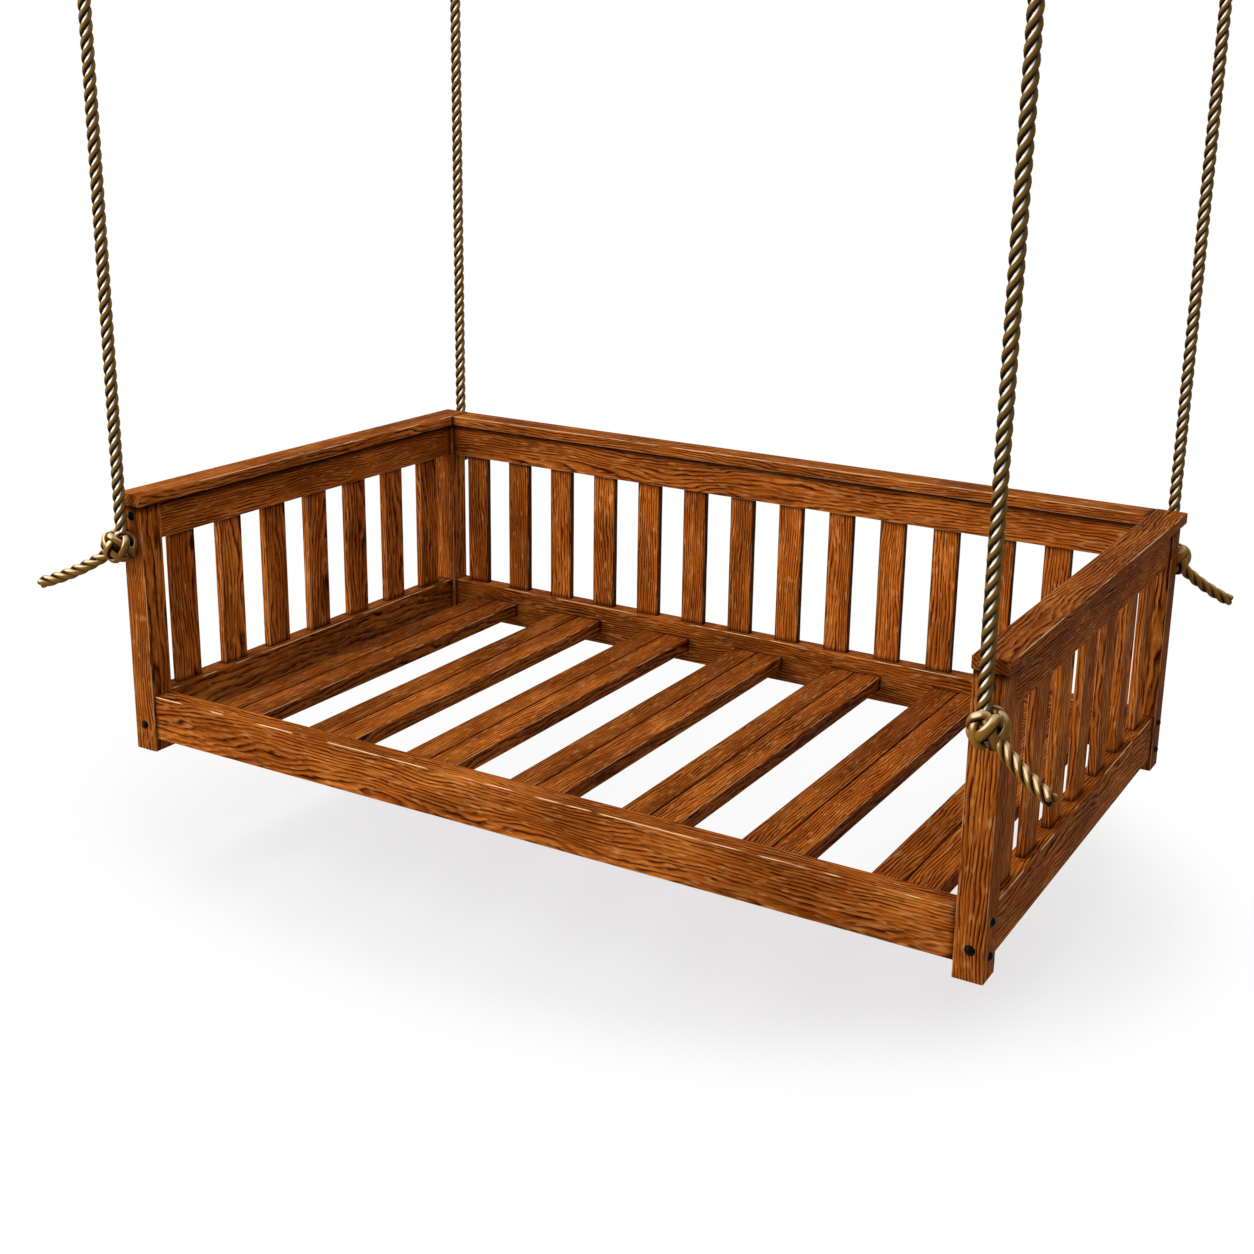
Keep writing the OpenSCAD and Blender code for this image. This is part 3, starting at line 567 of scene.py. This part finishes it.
def splicedEye(corner, sx, sy):
    # the rope goes round its thimble and is tucked back into itself below
    mesh = startMesh()
    s = ropeSizes
    span = s["throatZ"] - s["topZ"]
    for strand in range(3):
        centres, radii, outward = [], [], []
        for i in range(61):
            t = i / 60
            # the tucks wind against the lay, over one strand and under the next
            a = -math.tau * (t * span / s["tuckTurn"] + strand / 3) + 0.4
            weave = math.sin(3 * a + math.tau * 3 * t * span / s["lay"])
            out = Vector((math.cos(a), math.sin(a), 0))
            thick = 0.0026 + 0.0034 * t
            reach = s["radius"] * (0.86 + 0.22 * t) - 0.0012 + 0.0018 * weave
            centres.append(ropeAt(sx, sy, s["topZ"] + span * t) + out * (reach - thick * 0.25))
            radii.append(thick)
            outward.append(out)
        addTube(mesh, centres, radii, outward, sides=10)
    wrap = math.asin(s["eyeRadius"] / (s["eyeZ"] - s["throatZ"]))
    throat = ropeAt(sx, sy, s["throatZ"])
    turns = [-wrap + (math.pi + 2 * wrap) * i / 48 for i in range(49)]
    bow = [ropeAt(sx, sy, s["eyeZ"]) + s["eyeRadius"] * Vector((0, math.cos(a), math.sin(a))) for a in turns]
    layRope(mesh, [throat, *bow, throat], s["radius"] * 0.985, phase=0.7, ends=False, sides=10)
    # a seizing of tarred twine closes the throat
    for k in range(7):
        centre = ropeAt(sx, sy, s["throatZ"] - 0.006 + 0.0024 * k)
        ring = [centre + Vector((math.cos(a) * 0.0150, math.sin(a) * 0.0188, 0))
                for a in [math.tau * j / 28 for j in range(28)]]
        addTube(mesh, ring, [0.0014] * 28, [r - centre for r in ring], sides=6, closed=True)
    piece = finishMesh(mesh, "spliced_eye_" + corner, ropeMaterial)
    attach(piece, f"rope_{corner}_hanging")
    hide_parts(f"rope_eye_{corner}")
    return piece


knotSizes = {"x": 1.024, "z": 0.497 + feet, "radius": 0.0394, "spread": 1.20, "bights": 5, "weave": 0.0036,
             # the strand's radius, how often it goes round, and how the ball is turned
             "strand": {"lf": 0.0070, "rf": 0.0084, "bl": 0.0084, "br": 0.0084},
             "leads": {"lf": 4, "rf": 3, "bl": 3, "br": 3},
             "spin": {"lf": 0.9, "rf": 2.2, "bl": 4.0, "br": 5.1},
             # the rope's own turns inside: height, reach and radius
             "core": ((0.024, 0.010, 0.0095), (-0.024, 0.010, 0.0095), (0.0, 0.012, 0.0125)),
             "flat": 0.0272,  # how far it reaches towards the post, where it is pressed flat
             # a tail's length, its slope at the knot, how far it levels out, and its turn, in degrees
             "tailLength": {"lf": 0.210, "rf": 0.170, "bl": 0.185, "br": 0.170},
             "tailSlope": {"lf": 38, "rf": 38, "bl": 38, "br": 46}, "tailLift": 22, "tailTurn": 25}


def knotCentre(sx, sy):
    return Vector((sx * knotSizes["x"], sy * ropeSizes["y"], knotSizes["z"]))


def tailRoute(corner, sx, sy):
    s = knotSizes
    turn = math.radians(s["tailTurn"])
    ahead = Vector((sx * math.cos(turn), sy * math.sin(turn), 0))
    points, pieces = [knotCentre(sx, sy)], 24
    for i in range(pieces):
        slope = math.radians(s["tailSlope"][corner] - s["tailLift"] * (i + 0.5) / pieces)
        points.append(points[-1] + s["tailLength"][corner] / pieces * (
            math.cos(slope) * ahead - math.sin(slope) * Vector((0, 0, 1))))
    return points


def knotTail(corner, sx, sy):
    mesh = startMesh()
    route = tailRoute(corner, sx, sy)
    layRope(mesh, route, ropeSizes["radius"], phase=0.5 if sx > 0 else 1.3, step=0.0035, upperSide=-1)
    piece = finishMesh(mesh, "rope_tail_" + corner, knotMaterial)
    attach(piece, "bed")
    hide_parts(f"knot_{corner}")


def stopperKnot(corner, sx, sy):
    # the strands are crowned and walled into a woven ball round the screw eye
    s = knotSizes
    mesh = startMesh()
    centre = knotCentre(sx, sy)
    leads, strand, spin = [s[key][corner] for key in ("leads", "strand", "spin")]
    count = 100 * leads
    centres, radii, outward = [], [], []
    lean = Matrix.Rotation(math.radians(12 * sx), 3, "Y") @ Matrix.Rotation(math.radians(-8 * sy), 3, "X")
    for i in range(count):
        around = math.tau * leads * i / count
        wave = around * s["bights"] / leads
        height = math.radians(60) * math.sin(wave)
        # over one strand and under the next
        reach = s["radius"] - strand + s["weave"] * math.sin((leads - 1) * wave + (leads - 3) * math.pi / 2)
        a = around + spin
        out = lean @ Vector((math.cos(height) * math.cos(a), math.cos(height) * math.sin(a), math.sin(height)))
        centres.append(centre + out * reach)
        radii.append(strand * (1.0 + 0.05 * math.sin(5 * around + spin)))
        outward.append(out)
    addTube(mesh, centres, radii, outward, sides=16, closed=True, spread=s["spread"])
    # the rope's own turns fill the middle of the ball and close its top and bottom
    for k, (z, reach, thick) in enumerate(s["core"]):
        ring = [centre + lean @ Vector((math.cos(a) * reach, math.sin(a) * reach, z + 0.002 * math.sin(a + k)))
                for a in [math.tau * j / 40 for j in range(40)]]
        # the inner turns get more painted shade
        addTube(mesh, ring, [thick] * 40, [r - centre for r in ring], closed=True, lift=0.6)
    woven = len(mesh.faces)
    low, high = s["z"] + 0.010, ropeSizes["bendZ"]
    layRope(mesh, [ropeAt(sx, sy, low), ropeAt(sx, sy, high)], ropeSizes["radius"],
            turnFrom=low - high, ends=False)
    for polygon in list(mesh.faces)[woven:]:
        polygon.material_index = 1
    face = sy * (ropeSizes["y"] - s["flat"])
    for v in mesh.verts:  # pressed flat where it lies on the post
        if v.co.y * sy < face * sy:
            v.co.y = face
    piece = finishMesh(mesh, "stopper_knot_" + corner, knotMaterial)
    piece.data.materials.append(ropeMaterial)
    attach(piece, "bed")
    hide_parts(f"knot_{corner}")


for corner, sx, sy in corners:
    rope, route = hangingRope(corner, sx, sy)
    extras = [splicedEye(corner, sx, sy), ropeHeart(corner, sx, sy), nodes[f"thimble_{corner}"]]
    stopperKnot(corner, sx, sy)
    knotTail(corner, sx, sy)
print("ropes laid and knotted")


railTop = feet + 0.135
uprightLow, uprightHigh = railTop - 0.0138, feet + 0.5138  # with the ends that stand in the rails
upright = {"thick": 0.019, "length": uprightHigh - uprightLow, "middle": (uprightLow + uprightHigh) / 2, "strips": 1}
slatSizes = {
    # middle is the height of a slat's middle, and look what makeStainedOak is told about its wood; the back and end
    # slats' tone is raised as painted light, as the lamps reach them less
    "back": {**upright, "count": 14, "width": 0.066, "pitch": 0.140,
             "look": {"tone": 1.30, "seed": 70, "jointDepth": 0.0138, "edgeWearAndHighlight": (0.46, 0.53, 0.35)}},
    "end": {**upright, "count": 7, "width": 0.074, "pitch": 0.153,
            "look": {"tone": 1.12, "seed": 145, "jointDepth": 0.0138, "edgeWearAndHighlight": (0.46, 0.53, 0.35),
                     "edgeDarkening": 0.10}},
    "bed": {"count": 7, "width": 0.138, "thick": 0.036, "length": 1.1236, "pitch": 0.278,
            "middle": railTop - 0.038 - 0.018, "strips": 2, "look": {"seed": 90, "jointDepth": 0.0148, "glued": True}},
}
slatEdge = {"radius": 0.0028, "finer": 0.0013, "uneven": 0.0009}  # finer is how much less at the glued seam
# how much each strip is narrower than half a slat, and the tongue between them: its width, how much thinner
# and shorter than the slat it is, and its edges' radius
slatGroove = {"gap": 0.0013, "tongue": 0.010, "thinner": 0.009, "shorter": 0.004, "edge": 0.0012}


def addBoard(tree, width, thick, length, edge, shiftX, innerSide):
    # one board with eased edges, centred, its length along Z, and its own coordinates stored on it
    outline = addNode(tree, "GeometryNodeCurvePrimitiveQuadrilateral", {"Width": width, "Height": thick})
    x = addNode(tree, "ShaderNodeSeparateXYZ", {0: addNode(tree, "GeometryNodeInputPosition")})
    side = addNode(tree, "ShaderNodeMath", {0: x, 1: float(innerSide)}, operation="MULTIPLY")
    inner = addNode(tree, "ShaderNodeMath", {0: side, 1: 0.0}, operation="GREATER_THAN")
    finer = addNode(tree, "ShaderNodeMath", {0: inner, 1: -slatEdge["finer"], 2: edge}, operation="MULTIPLY_ADD")
    eased = addNode(tree, "GeometryNodeFilletCurve", {"Curve": outline, "Count": 3, "Radius": finer}, mode="POLY")
    start, end = [addNode(tree, "ShaderNodeCombineXYZ", {
        2: addNode(tree, "ShaderNodeMath", {0: length, 1: share}, operation="MULTIPLY")}) for share in (-0.5, 0.5)]
    line = addNode(tree, "GeometryNodeCurvePrimitiveLine", {"Start": start, "End": end})
    cut = addNode(tree, "GeometryNodeResampleCurve", {"Curve": line, "Count": 28})
    swept = addNode(tree, "GeometryNodeCurveToMesh", {"Curve": cut, "Profile Curve": eased, "Fill Caps": True})
    named = addNode(tree, "GeometryNodeStoreNamedAttribute", {
        "Geometry": swept, "Name": "boardCoord", "Value": addNode(tree, "GeometryNodeInputPosition")},
        data_type="FLOAT_VECTOR", domain="POINT")
    return addNode(tree, "GeometryNodeTransform", {
        "Geometry": named, "Translation": addNode(tree, "ShaderNodeCombineXYZ", {0: shiftX})})


def makeSlatTree(name, strips):
    tree = bpy.data.node_groups.new(name, "GeometryNodeTree")
    for label, kind in (("Slat Count", "Int"), ("First Place", "Vector"), ("Step", "Vector"), ("Turn", "Rotation"),
                        ("Width", "Float"), ("Thickness", "Float"), ("Length", "Float"), ("Edge Radius", "Float"),
                        ("Waviness", "Float"), ("Seed", "Int"), ("Wood", "Material")):
        tree.interface.new_socket(name=label, in_out="INPUT", socket_type="NodeSocket" + kind)
    tree.interface.new_socket(name="Slats", in_out="OUTPUT", socket_type="NodeSocketGeometry")
    given = addNode(tree, "NodeGroupInput").outputs
    width, thick, length, edge = [given[label] for label in ("Width", "Thickness", "Length", "Edge Radius")]
    if strips == 1:
        board = addBoard(tree, width, thick, length, edge, 0.0, 0)
    else:
        # two strips with a narrow groove between them, closed below by a tongue; stripSide tells them apart
        s = slatGroove
        half = addNode(tree, "ShaderNodeMath", {0: width, 1: 0.5, 2: -s["gap"]}, operation="MULTIPLY_ADD")
        thinner = addNode(tree, "ShaderNodeMath", {0: thick, 1: -s["thinner"]}, operation="ADD")
        shorter = addNode(tree, "ShaderNodeMath", {0: length, 1: -s["shorter"]}, operation="ADD")
        parts = [(addBoard(tree, s["tongue"], thinner, shorter, s["edge"], 0.0, 0), -1.5)]
        for side in (-1, 1):
            quarter = addNode(tree, "ShaderNodeMath", {0: width, 1: side * 0.25}, operation="MULTIPLY")
            parts.append((addBoard(tree, half, thick, length, edge, quarter, -side), 0.5 + 0.5 * side))
        board = addNode(tree, "GeometryNodeJoinGeometry")
        for part, mark in parts:
            marked = addNode(tree, "GeometryNodeStoreNamedAttribute", {
                "Geometry": part, "Name": "stripSide", "Value": mark}, data_type="FLOAT", domain="POINT")
            tree.links.new(marked.outputs[0], board.inputs[0])
    line = addNode(tree, "GeometryNodeMeshLine", {
        "Count": given["Slat Count"], "Start Location": given["First Place"], "Offset": given["Step"]}, mode="OFFSET")
    slats = addNode(tree, "GeometryNodeInstanceOnPoints", {
        "Points": line, "Instance": board, "Rotation": given["Turn"]})
    # each slat has its own place in the log and its own tone
    seed = addNode(tree, "FunctionNodeRandomValue", {2: 0.0, 3: 10.0, "Seed": given["Seed"]}, data_type="FLOAT")
    tone = addNode(tree, "FunctionNodeRandomValue", {
        2: 0.86, 3: 1.12, "Seed": given["Seed"], "ID": addNode(tree, "GeometryNodeInputIndex")}, data_type="FLOAT")
    for attribute, value in (("boardSeed", seed), ("boardTone", tone)):
        slats = addNode(tree, "GeometryNodeStoreNamedAttribute", {
            "Geometry": slats, "Name": attribute, "Value": value.outputs[1]}, data_type="FLOAT", domain="INSTANCE")
    slats = addNode(tree, "GeometryNodeRealizeInstances", {"Geometry": slats})
    if strips == 2:
        # the left strip is cut from darker wood than the right one, and from another board
        side = addNode(tree, "GeometryNodeInputNamedAttribute", {"Name": "stripSide"}, data_type="FLOAT")
        for attribute, scale, start in (("boardTone", 0.26, -0.15), ("boardSeed", 3.1, 0.0)):
            old = addNode(tree, "GeometryNodeInputNamedAttribute", {"Name": attribute}, data_type="FLOAT")
            more = addNode(tree, "ShaderNodeMath", {0: side, 1: scale, 2: old}, operation="MULTIPLY_ADD")
            value = addNode(tree, "ShaderNodeMath", {0: more, 1: start}, operation="ADD")
            slats = addNode(tree, "GeometryNodeStoreNamedAttribute", {
                "Geometry": slats, "Name": attribute, "Value": value}, data_type="FLOAT", domain="POINT")
    # hand-finished edges are a little uneven
    where = addNode(tree, "ShaderNodeVectorMath", {0: addNode(tree, "GeometryNodeInputPosition"), "Scale": 9.0},
                    operation="SCALE")
    noise = addNode(tree, "ShaderNodeTexNoise", {"Vector": where, "Scale": 1.0, "Detail": 1.0}).outputs["Color"]
    centred = addNode(tree, "ShaderNodeVectorMath", {0: noise, 1: (0.5, 0.5, 0.5)}, operation="SUBTRACT")
    offset = addNode(tree, "ShaderNodeVectorMath", {0: centred, "Scale": given["Waviness"]}, operation="SCALE")
    uneven = addNode(tree, "GeometryNodeSetPosition", {"Geometry": slats, "Offset": offset})
    wood = addNode(tree, "GeometryNodeSetMaterial", {"Geometry": uneven, "Material": given["Wood"]})
    addNode(tree, "NodeGroupOutput", {0: wood})
    return tree


def runTree(name, tree, values):
    # evaluates the tree on an empty mesh and keeps the result as a plain mesh
    carrier = placeInScene(name + "_carrier", bpy.data.meshes.new(name + "_carrier"))
    modifier = carrier.modifiers.new("build", "NODES")
    modifier.node_group = tree
    sockets = {item.name: item.identifier for item in tree.interface.items_tree if item.in_out == "INPUT"}
    for label, value in values.items():
        modifier[sockets[label]] = value
    evaluated = carrier.evaluated_get(bpy.context.evaluated_depsgraph_get())
    data = bpy.data.meshes.new_from_object(evaluated)
    data.name = name
    bpy.data.objects.remove(carrier)
    return placeInScene(name, data)


slatTrees = {1: makeSlatTree("upright_slats", 1), 2: makeSlatTree("glued_slats", 2)}
slatWood = {}
for key, s in slatSizes.items():
    halfSize = (s["width"] / 2 / s["strips"], s["thick"] / 2, s["length"] / 2)
    slatWood[key] = makeStainedOak("stained_oak_" + key + "_slats", halfSize, **s["look"])
slatRows = [
    # name, kind, the first slat's place, the way to the next, turn, the nodes that it stands for, seed
    ("back_slats", "back", (-0.910, 0.571), (1, 0), (0, 0, 0), ["slats_back"], 3),
    ("left_end_slats", "end", (-1.011, -0.459), (0, 1), (0, 0, math.pi / 2), ["slats_left"], 5),
    ("right_end_slats", "end", (1.011, -0.459), (0, 1), (0, 0, math.pi / 2), ["slats_right"], 8),
    ("bed_slats", "bed", (-0.834, 0.0), (1, 0), (-math.pi / 2, 0, 0), [f"bed_slat_{i}" for i in range(1, 8)], 2),
]
for name, key, first, way, turn, stoodFor, seed in slatRows:
    s = slatSizes[key]
    piece = runTree(name, slatTrees[s["strips"]], {
        "Slat Count": s["count"], "First Place": (*first, s["middle"]),
        "Step": (way[0] * s["pitch"], way[1] * s["pitch"], 0.0), "Turn": turn, "Width": s["width"],
        "Thickness": s["thick"], "Length": s["length"], "Edge Radius": slatEdge["radius"],
        "Waviness": slatEdge["uneven"], "Seed": seed, "Wood": slatWood[key]})
    for polygon in piece.data.polygons:
        polygon.use_smooth = False
    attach(piece, "bed")
    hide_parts(*stoodFor)
print("slats made")


metalLooks = {
    # mild steel with a black powder coat, sprayed and baked: dark, half dull, with a fine orange peel
    "black_powder_coated_steel": {
        "clouds": (160.0, 3.0), "relief": 900.0, "bump": 0.2, "colours": ((0.35, "#030303"), (0.7, "#0a0909")),
        "roughness": (0.24, 0.40), "shader": {"IOR": 1.5, "Specular IOR Level": 0.04}},
    # drop-forged steel, zinc plated and weathered: cool grey, with dull patches and fine wear marks
    "zinc_plated_steel": {
        "clouds": (60.0, 4.0), "relief": 1100.0, "bump": 0.15, "colours": ((0.3, "#7b7f84"), (0.7, "#a6aaae")),
        "roughness": (0.28, 0.50), "shader": {"Metallic": 1.0}},
}


def makeMetal(name):
    s = metalLooks[name]
    material, tree = newMaterial(name)
    place = addNode(tree, "ShaderNodeTexCoord").outputs["Object"]
    clouds = addNode(tree, "ShaderNodeTexNoise", {
        "Vector": place, "Scale": s["clouds"][0], "Detail": s["clouds"][1]})
    relief = addNode(tree, "ShaderNodeTexNoise", {"Vector": place, "Scale": s["relief"], "Detail": 2.0})
    colour = setRamp(addNode(tree, "ShaderNodeValToRGB", {"Fac": clouds}), [
        (level, hexToLinear(tint)) for level, tint in s["colours"]])
    rough = addNode(tree, "ShaderNodeMapRange", {
        "Value": clouds, "To Min": s["roughness"][0], "To Max": s["roughness"][1]})
    bump = addNode(tree, "ShaderNodeBump", {"Strength": s["bump"], "Distance": 0.0002, "Height": relief})
    shader = addNode(tree, "ShaderNodeBsdfPrincipled", {
        "Base Color": colour, "Roughness": rough, "Normal": bump, **s["shader"]})
    addNode(tree, "ShaderNodeOutputMaterial", {"Surface": shader})
    return material


def makeEndGrain(name, dark, light):
    # end grain of a turned peg: small dark pores in rings, no gloss
    material, tree = newMaterial(name)
    place = addNode(tree, "ShaderNodeTexCoord").outputs["Object"]
    dots = addNode(tree, "ShaderNodeTexVoronoi", {"Vector": place, "Scale": 900.0})
    colour = setRamp(addNode(tree, "ShaderNodeValToRGB", {"Fac": dots}), [
        (0.1, hexToLinear(dark)), (0.6, hexToLinear(light))])
    shader = addNode(tree, "ShaderNodeBsdfPrincipled", {
        "Base Color": colour, "Roughness": 0.6, "IOR": 1.5, "Specular IOR Level": 0.1})
    addNode(tree, "ShaderNodeOutputMaterial", {"Surface": shader})
    return material


fittings = [
    (("lag_bolts", "screw_eyes"), makeMetal("black_powder_coated_steel")),
    (("thimble_", "shackle_", "ceiling_eyes"), makeMetal("zinc_plated_steel")),
    (("tenon_pins",), makeEndGrain("dark_peg_end_grain", "#120805", "#2b160c")),
    (("cap_dowels",), makeEndGrain("beech_dowel_end_grain", "#8d6a42", "#c79a67")),
]
for starts, material in fittings:
    for name in nodes:
        if name.startswith(starts):
            paintSolid(name, material)
print("metal and pegs painted")


stageSizes = {
    "floorDrop": 0.32, "floorSize": 60.0,  # how far below the feet the floor lies
    "floorSeen": 0.95, "floorBounce": 0.34,  # its grey where it is seen, and for the light that it throws back
    # the bed's shadow is shifted and drawn out, fades to white between two distances, and is thin to start with
    "shadowShift": (0.233, -0.303, 0.0), "shadowScale": (0.706, 1.0, 0.0), "whiteFrom": 0.89, "whiteTo": 1.23,
    "thinned": 0.58,
    # painted light: the floor glows white in a patch under and behind the bed, wiping out its shadow there, by Y and
    # by X: from where, to where, and how much
    "paintedLightBehind": (-0.20, 0.30, 1.0), "paintedLightLeft": (1.15, 0.35, 0.9),
    "worldLight": 0.42,  # strength of the white surroundings as a light; where they are seen it is 1
    "lamps": {  # place, what it points at, size and power
        "softbox": ((-3.2, -4.2, -0.5), (0, 0, -1.8), 4.0, 215),
        "spark": ((-2.3, -3.6, 2.0), (0, 0, -1.6), 2.4, 60),
        "overhead": ((-0.1, -0.2, 2.6), (0, -0.1, -2.0), 3.6, 60),
        "fill": ((2.0, 4.5, 0.8), (0, 0, -1.8), 3.0, 60),
    },
}
cameraView = {
    # solved from the picture's edges: the ways to the right and ahead, and the place; the frame's width, the
    # focal length and the point that lies straight ahead are in pixels of the picture
    "right": (0.87594, 0.48174, 0.02548), "ahead": (-0.45822, 0.84736, -0.26835),
    "place": (1.87385, -3.20968, 1.54161 + feet), "frame": 1254, "focal": 1692.94, "centre": (708.18, 549.06),
    "sensor": 36.0,
}


def seenDirectly(tree):
    # 1 for what the camera sees, also in gloss and through glass
    path = addNode(tree, "ShaderNodeLightPath").outputs
    seen = path["Is Camera Ray"]
    for ray in ("Is Glossy Ray", "Is Transmission Ray"):
        seen = addNode(tree, "ShaderNodeMath", {0: seen, 1: path[ray]}, operation="MAXIMUM")
    return seen


def makeFloor():
    s = stageSizes
    data = bpy.data.meshes.new("floor")
    h = s["floorSize"] / 2
    z = feet - s["floorDrop"]
    data.from_pydata([(-h, -h, z), (h, -h, z), (h, h, z), (-h, h, z)], [], [(0, 1, 2, 3)])
    floor = placeInScene("floor", data)
    material, tree = newMaterial("pale_floor")
    seen = seenDirectly(tree)
    colour = addNode(tree, "ShaderNodeMix", {
        "Factor": seen, 6: grey(s["floorBounce"]), 7: grey(s["floorSeen"])}, data_type="RGBA").outputs[2]
    diffuse = addNode(tree, "ShaderNodeBsdfDiffuse", {"Color": colour})
    white = addNode(tree, "ShaderNodeEmission", {"Color": grey(1.0), "Strength": 1.0})
    # the floor turns plain white away from the bed, glows white as painted light in a patch under and behind the bed
    # where its shadow would fall, and keeps the shadow near it
    place = addNode(tree, "ShaderNodeTexCoord").outputs["Object"]
    moved = addNode(tree, "ShaderNodeMapping", {
        "Vector": place, "Location": s["shadowShift"], "Scale": s["shadowScale"]})
    away = addNode(tree, "ShaderNodeVectorMath", {0: moved}, operation="LENGTH").outputs["Value"]
    spot = addNode(tree, "ShaderNodeSeparateXYZ", {0: place})
    far, behind, left = [addNode(tree, "ShaderNodeMapRange", {
        "Value": value, "From Min": start, "From Max": end, "To Min": least, "To Max": most},
        interpolation_type="SMOOTHSTEP") for value, least, (start, end, most) in (
            (away, s["thinned"], (s["whiteFrom"], s["whiteTo"], 1.0)),
            (spot.outputs[1], 0.0, s["paintedLightBehind"]), (spot.outputs[0], 0.0, s["paintedLightLeft"]))]
    paintedLightPatch = addNode(tree, "ShaderNodeMath", {0: behind, 1: left}, operation="MULTIPLY")
    plain = addNode(tree, "ShaderNodeMath", {0: far, 1: paintedLightPatch}, operation="MAXIMUM")
    share = addNode(tree, "ShaderNodeMath", {0: seen, 1: plain}, operation="MULTIPLY")
    mix = addNode(tree, "ShaderNodeMixShader", {0: share, 1: diffuse, 2: white})
    # from below the floor doesn't hide the bed
    under = addNode(tree, "ShaderNodeNewGeometry").outputs["Backfacing"]
    oneWay = addNode(tree, "ShaderNodeMixShader", {0: under, 1: mix, 2: addNode(tree, "ShaderNodeBsdfTransparent")})
    addNode(tree, "ShaderNodeOutputMaterial", {"Surface": oneWay})
    data.materials.append(material)


def makeWorld():
    world = bpy.data.worlds.new("studio")
    world.use_nodes = True
    tree = world.node_tree
    tree.nodes.clear()
    strength = addNode(tree, "ShaderNodeMapRange", {
        "Value": seenDirectly(tree), "To Min": stageSizes["worldLight"]})
    background = addNode(tree, "ShaderNodeBackground", {"Color": grey(1.0), "Strength": strength})
    addNode(tree, "ShaderNodeOutputWorld", {"Surface": background})
    bpy.context.scene.world = world


def addLamp(name, place, target, size, power):
    lamp = bpy.data.lights.new(name, "AREA")
    lamp.shape, lamp.size, lamp.energy = "SQUARE", size, power
    piece = placeInScene(name, lamp)
    piece.location = place
    piece.rotation_euler = (Vector(target) - Vector(place)).to_track_quat("-Z", "Y").to_euler()
    piece.visible_camera = False


def makeCamera():
    s = cameraView
    right, ahead = Vector(s["right"]).normalized(), Vector(s["ahead"]).normalized()
    up = right.cross(ahead).normalized()
    right = ahead.cross(up)
    camera = bpy.data.cameras.new("camera")
    camera.sensor_width = s["sensor"]
    camera.lens = s["sensor"] * s["focal"] / s["frame"]
    camera.shift_x = (s["frame"] / 2 - s["centre"][0]) / s["frame"]
    camera.shift_y = (s["centre"][1] - s["frame"] / 2) / s["frame"]
    camera.clip_start, camera.clip_end = 0.05, 100
    piece = placeInScene("camera", camera)
    piece.matrix_world = Matrix((*zip(right, up, -ahead, s["place"]), (0, 0, 0, 1)))
    bpy.context.scene.camera = piece


makeFloor()
makeWorld()
for name, lampSizes in stageSizes["lamps"].items():
    addLamp(name, *lampSizes)
makeCamera()
bpy.context.scene.view_settings.view_transform = "Standard"
print("stage set")
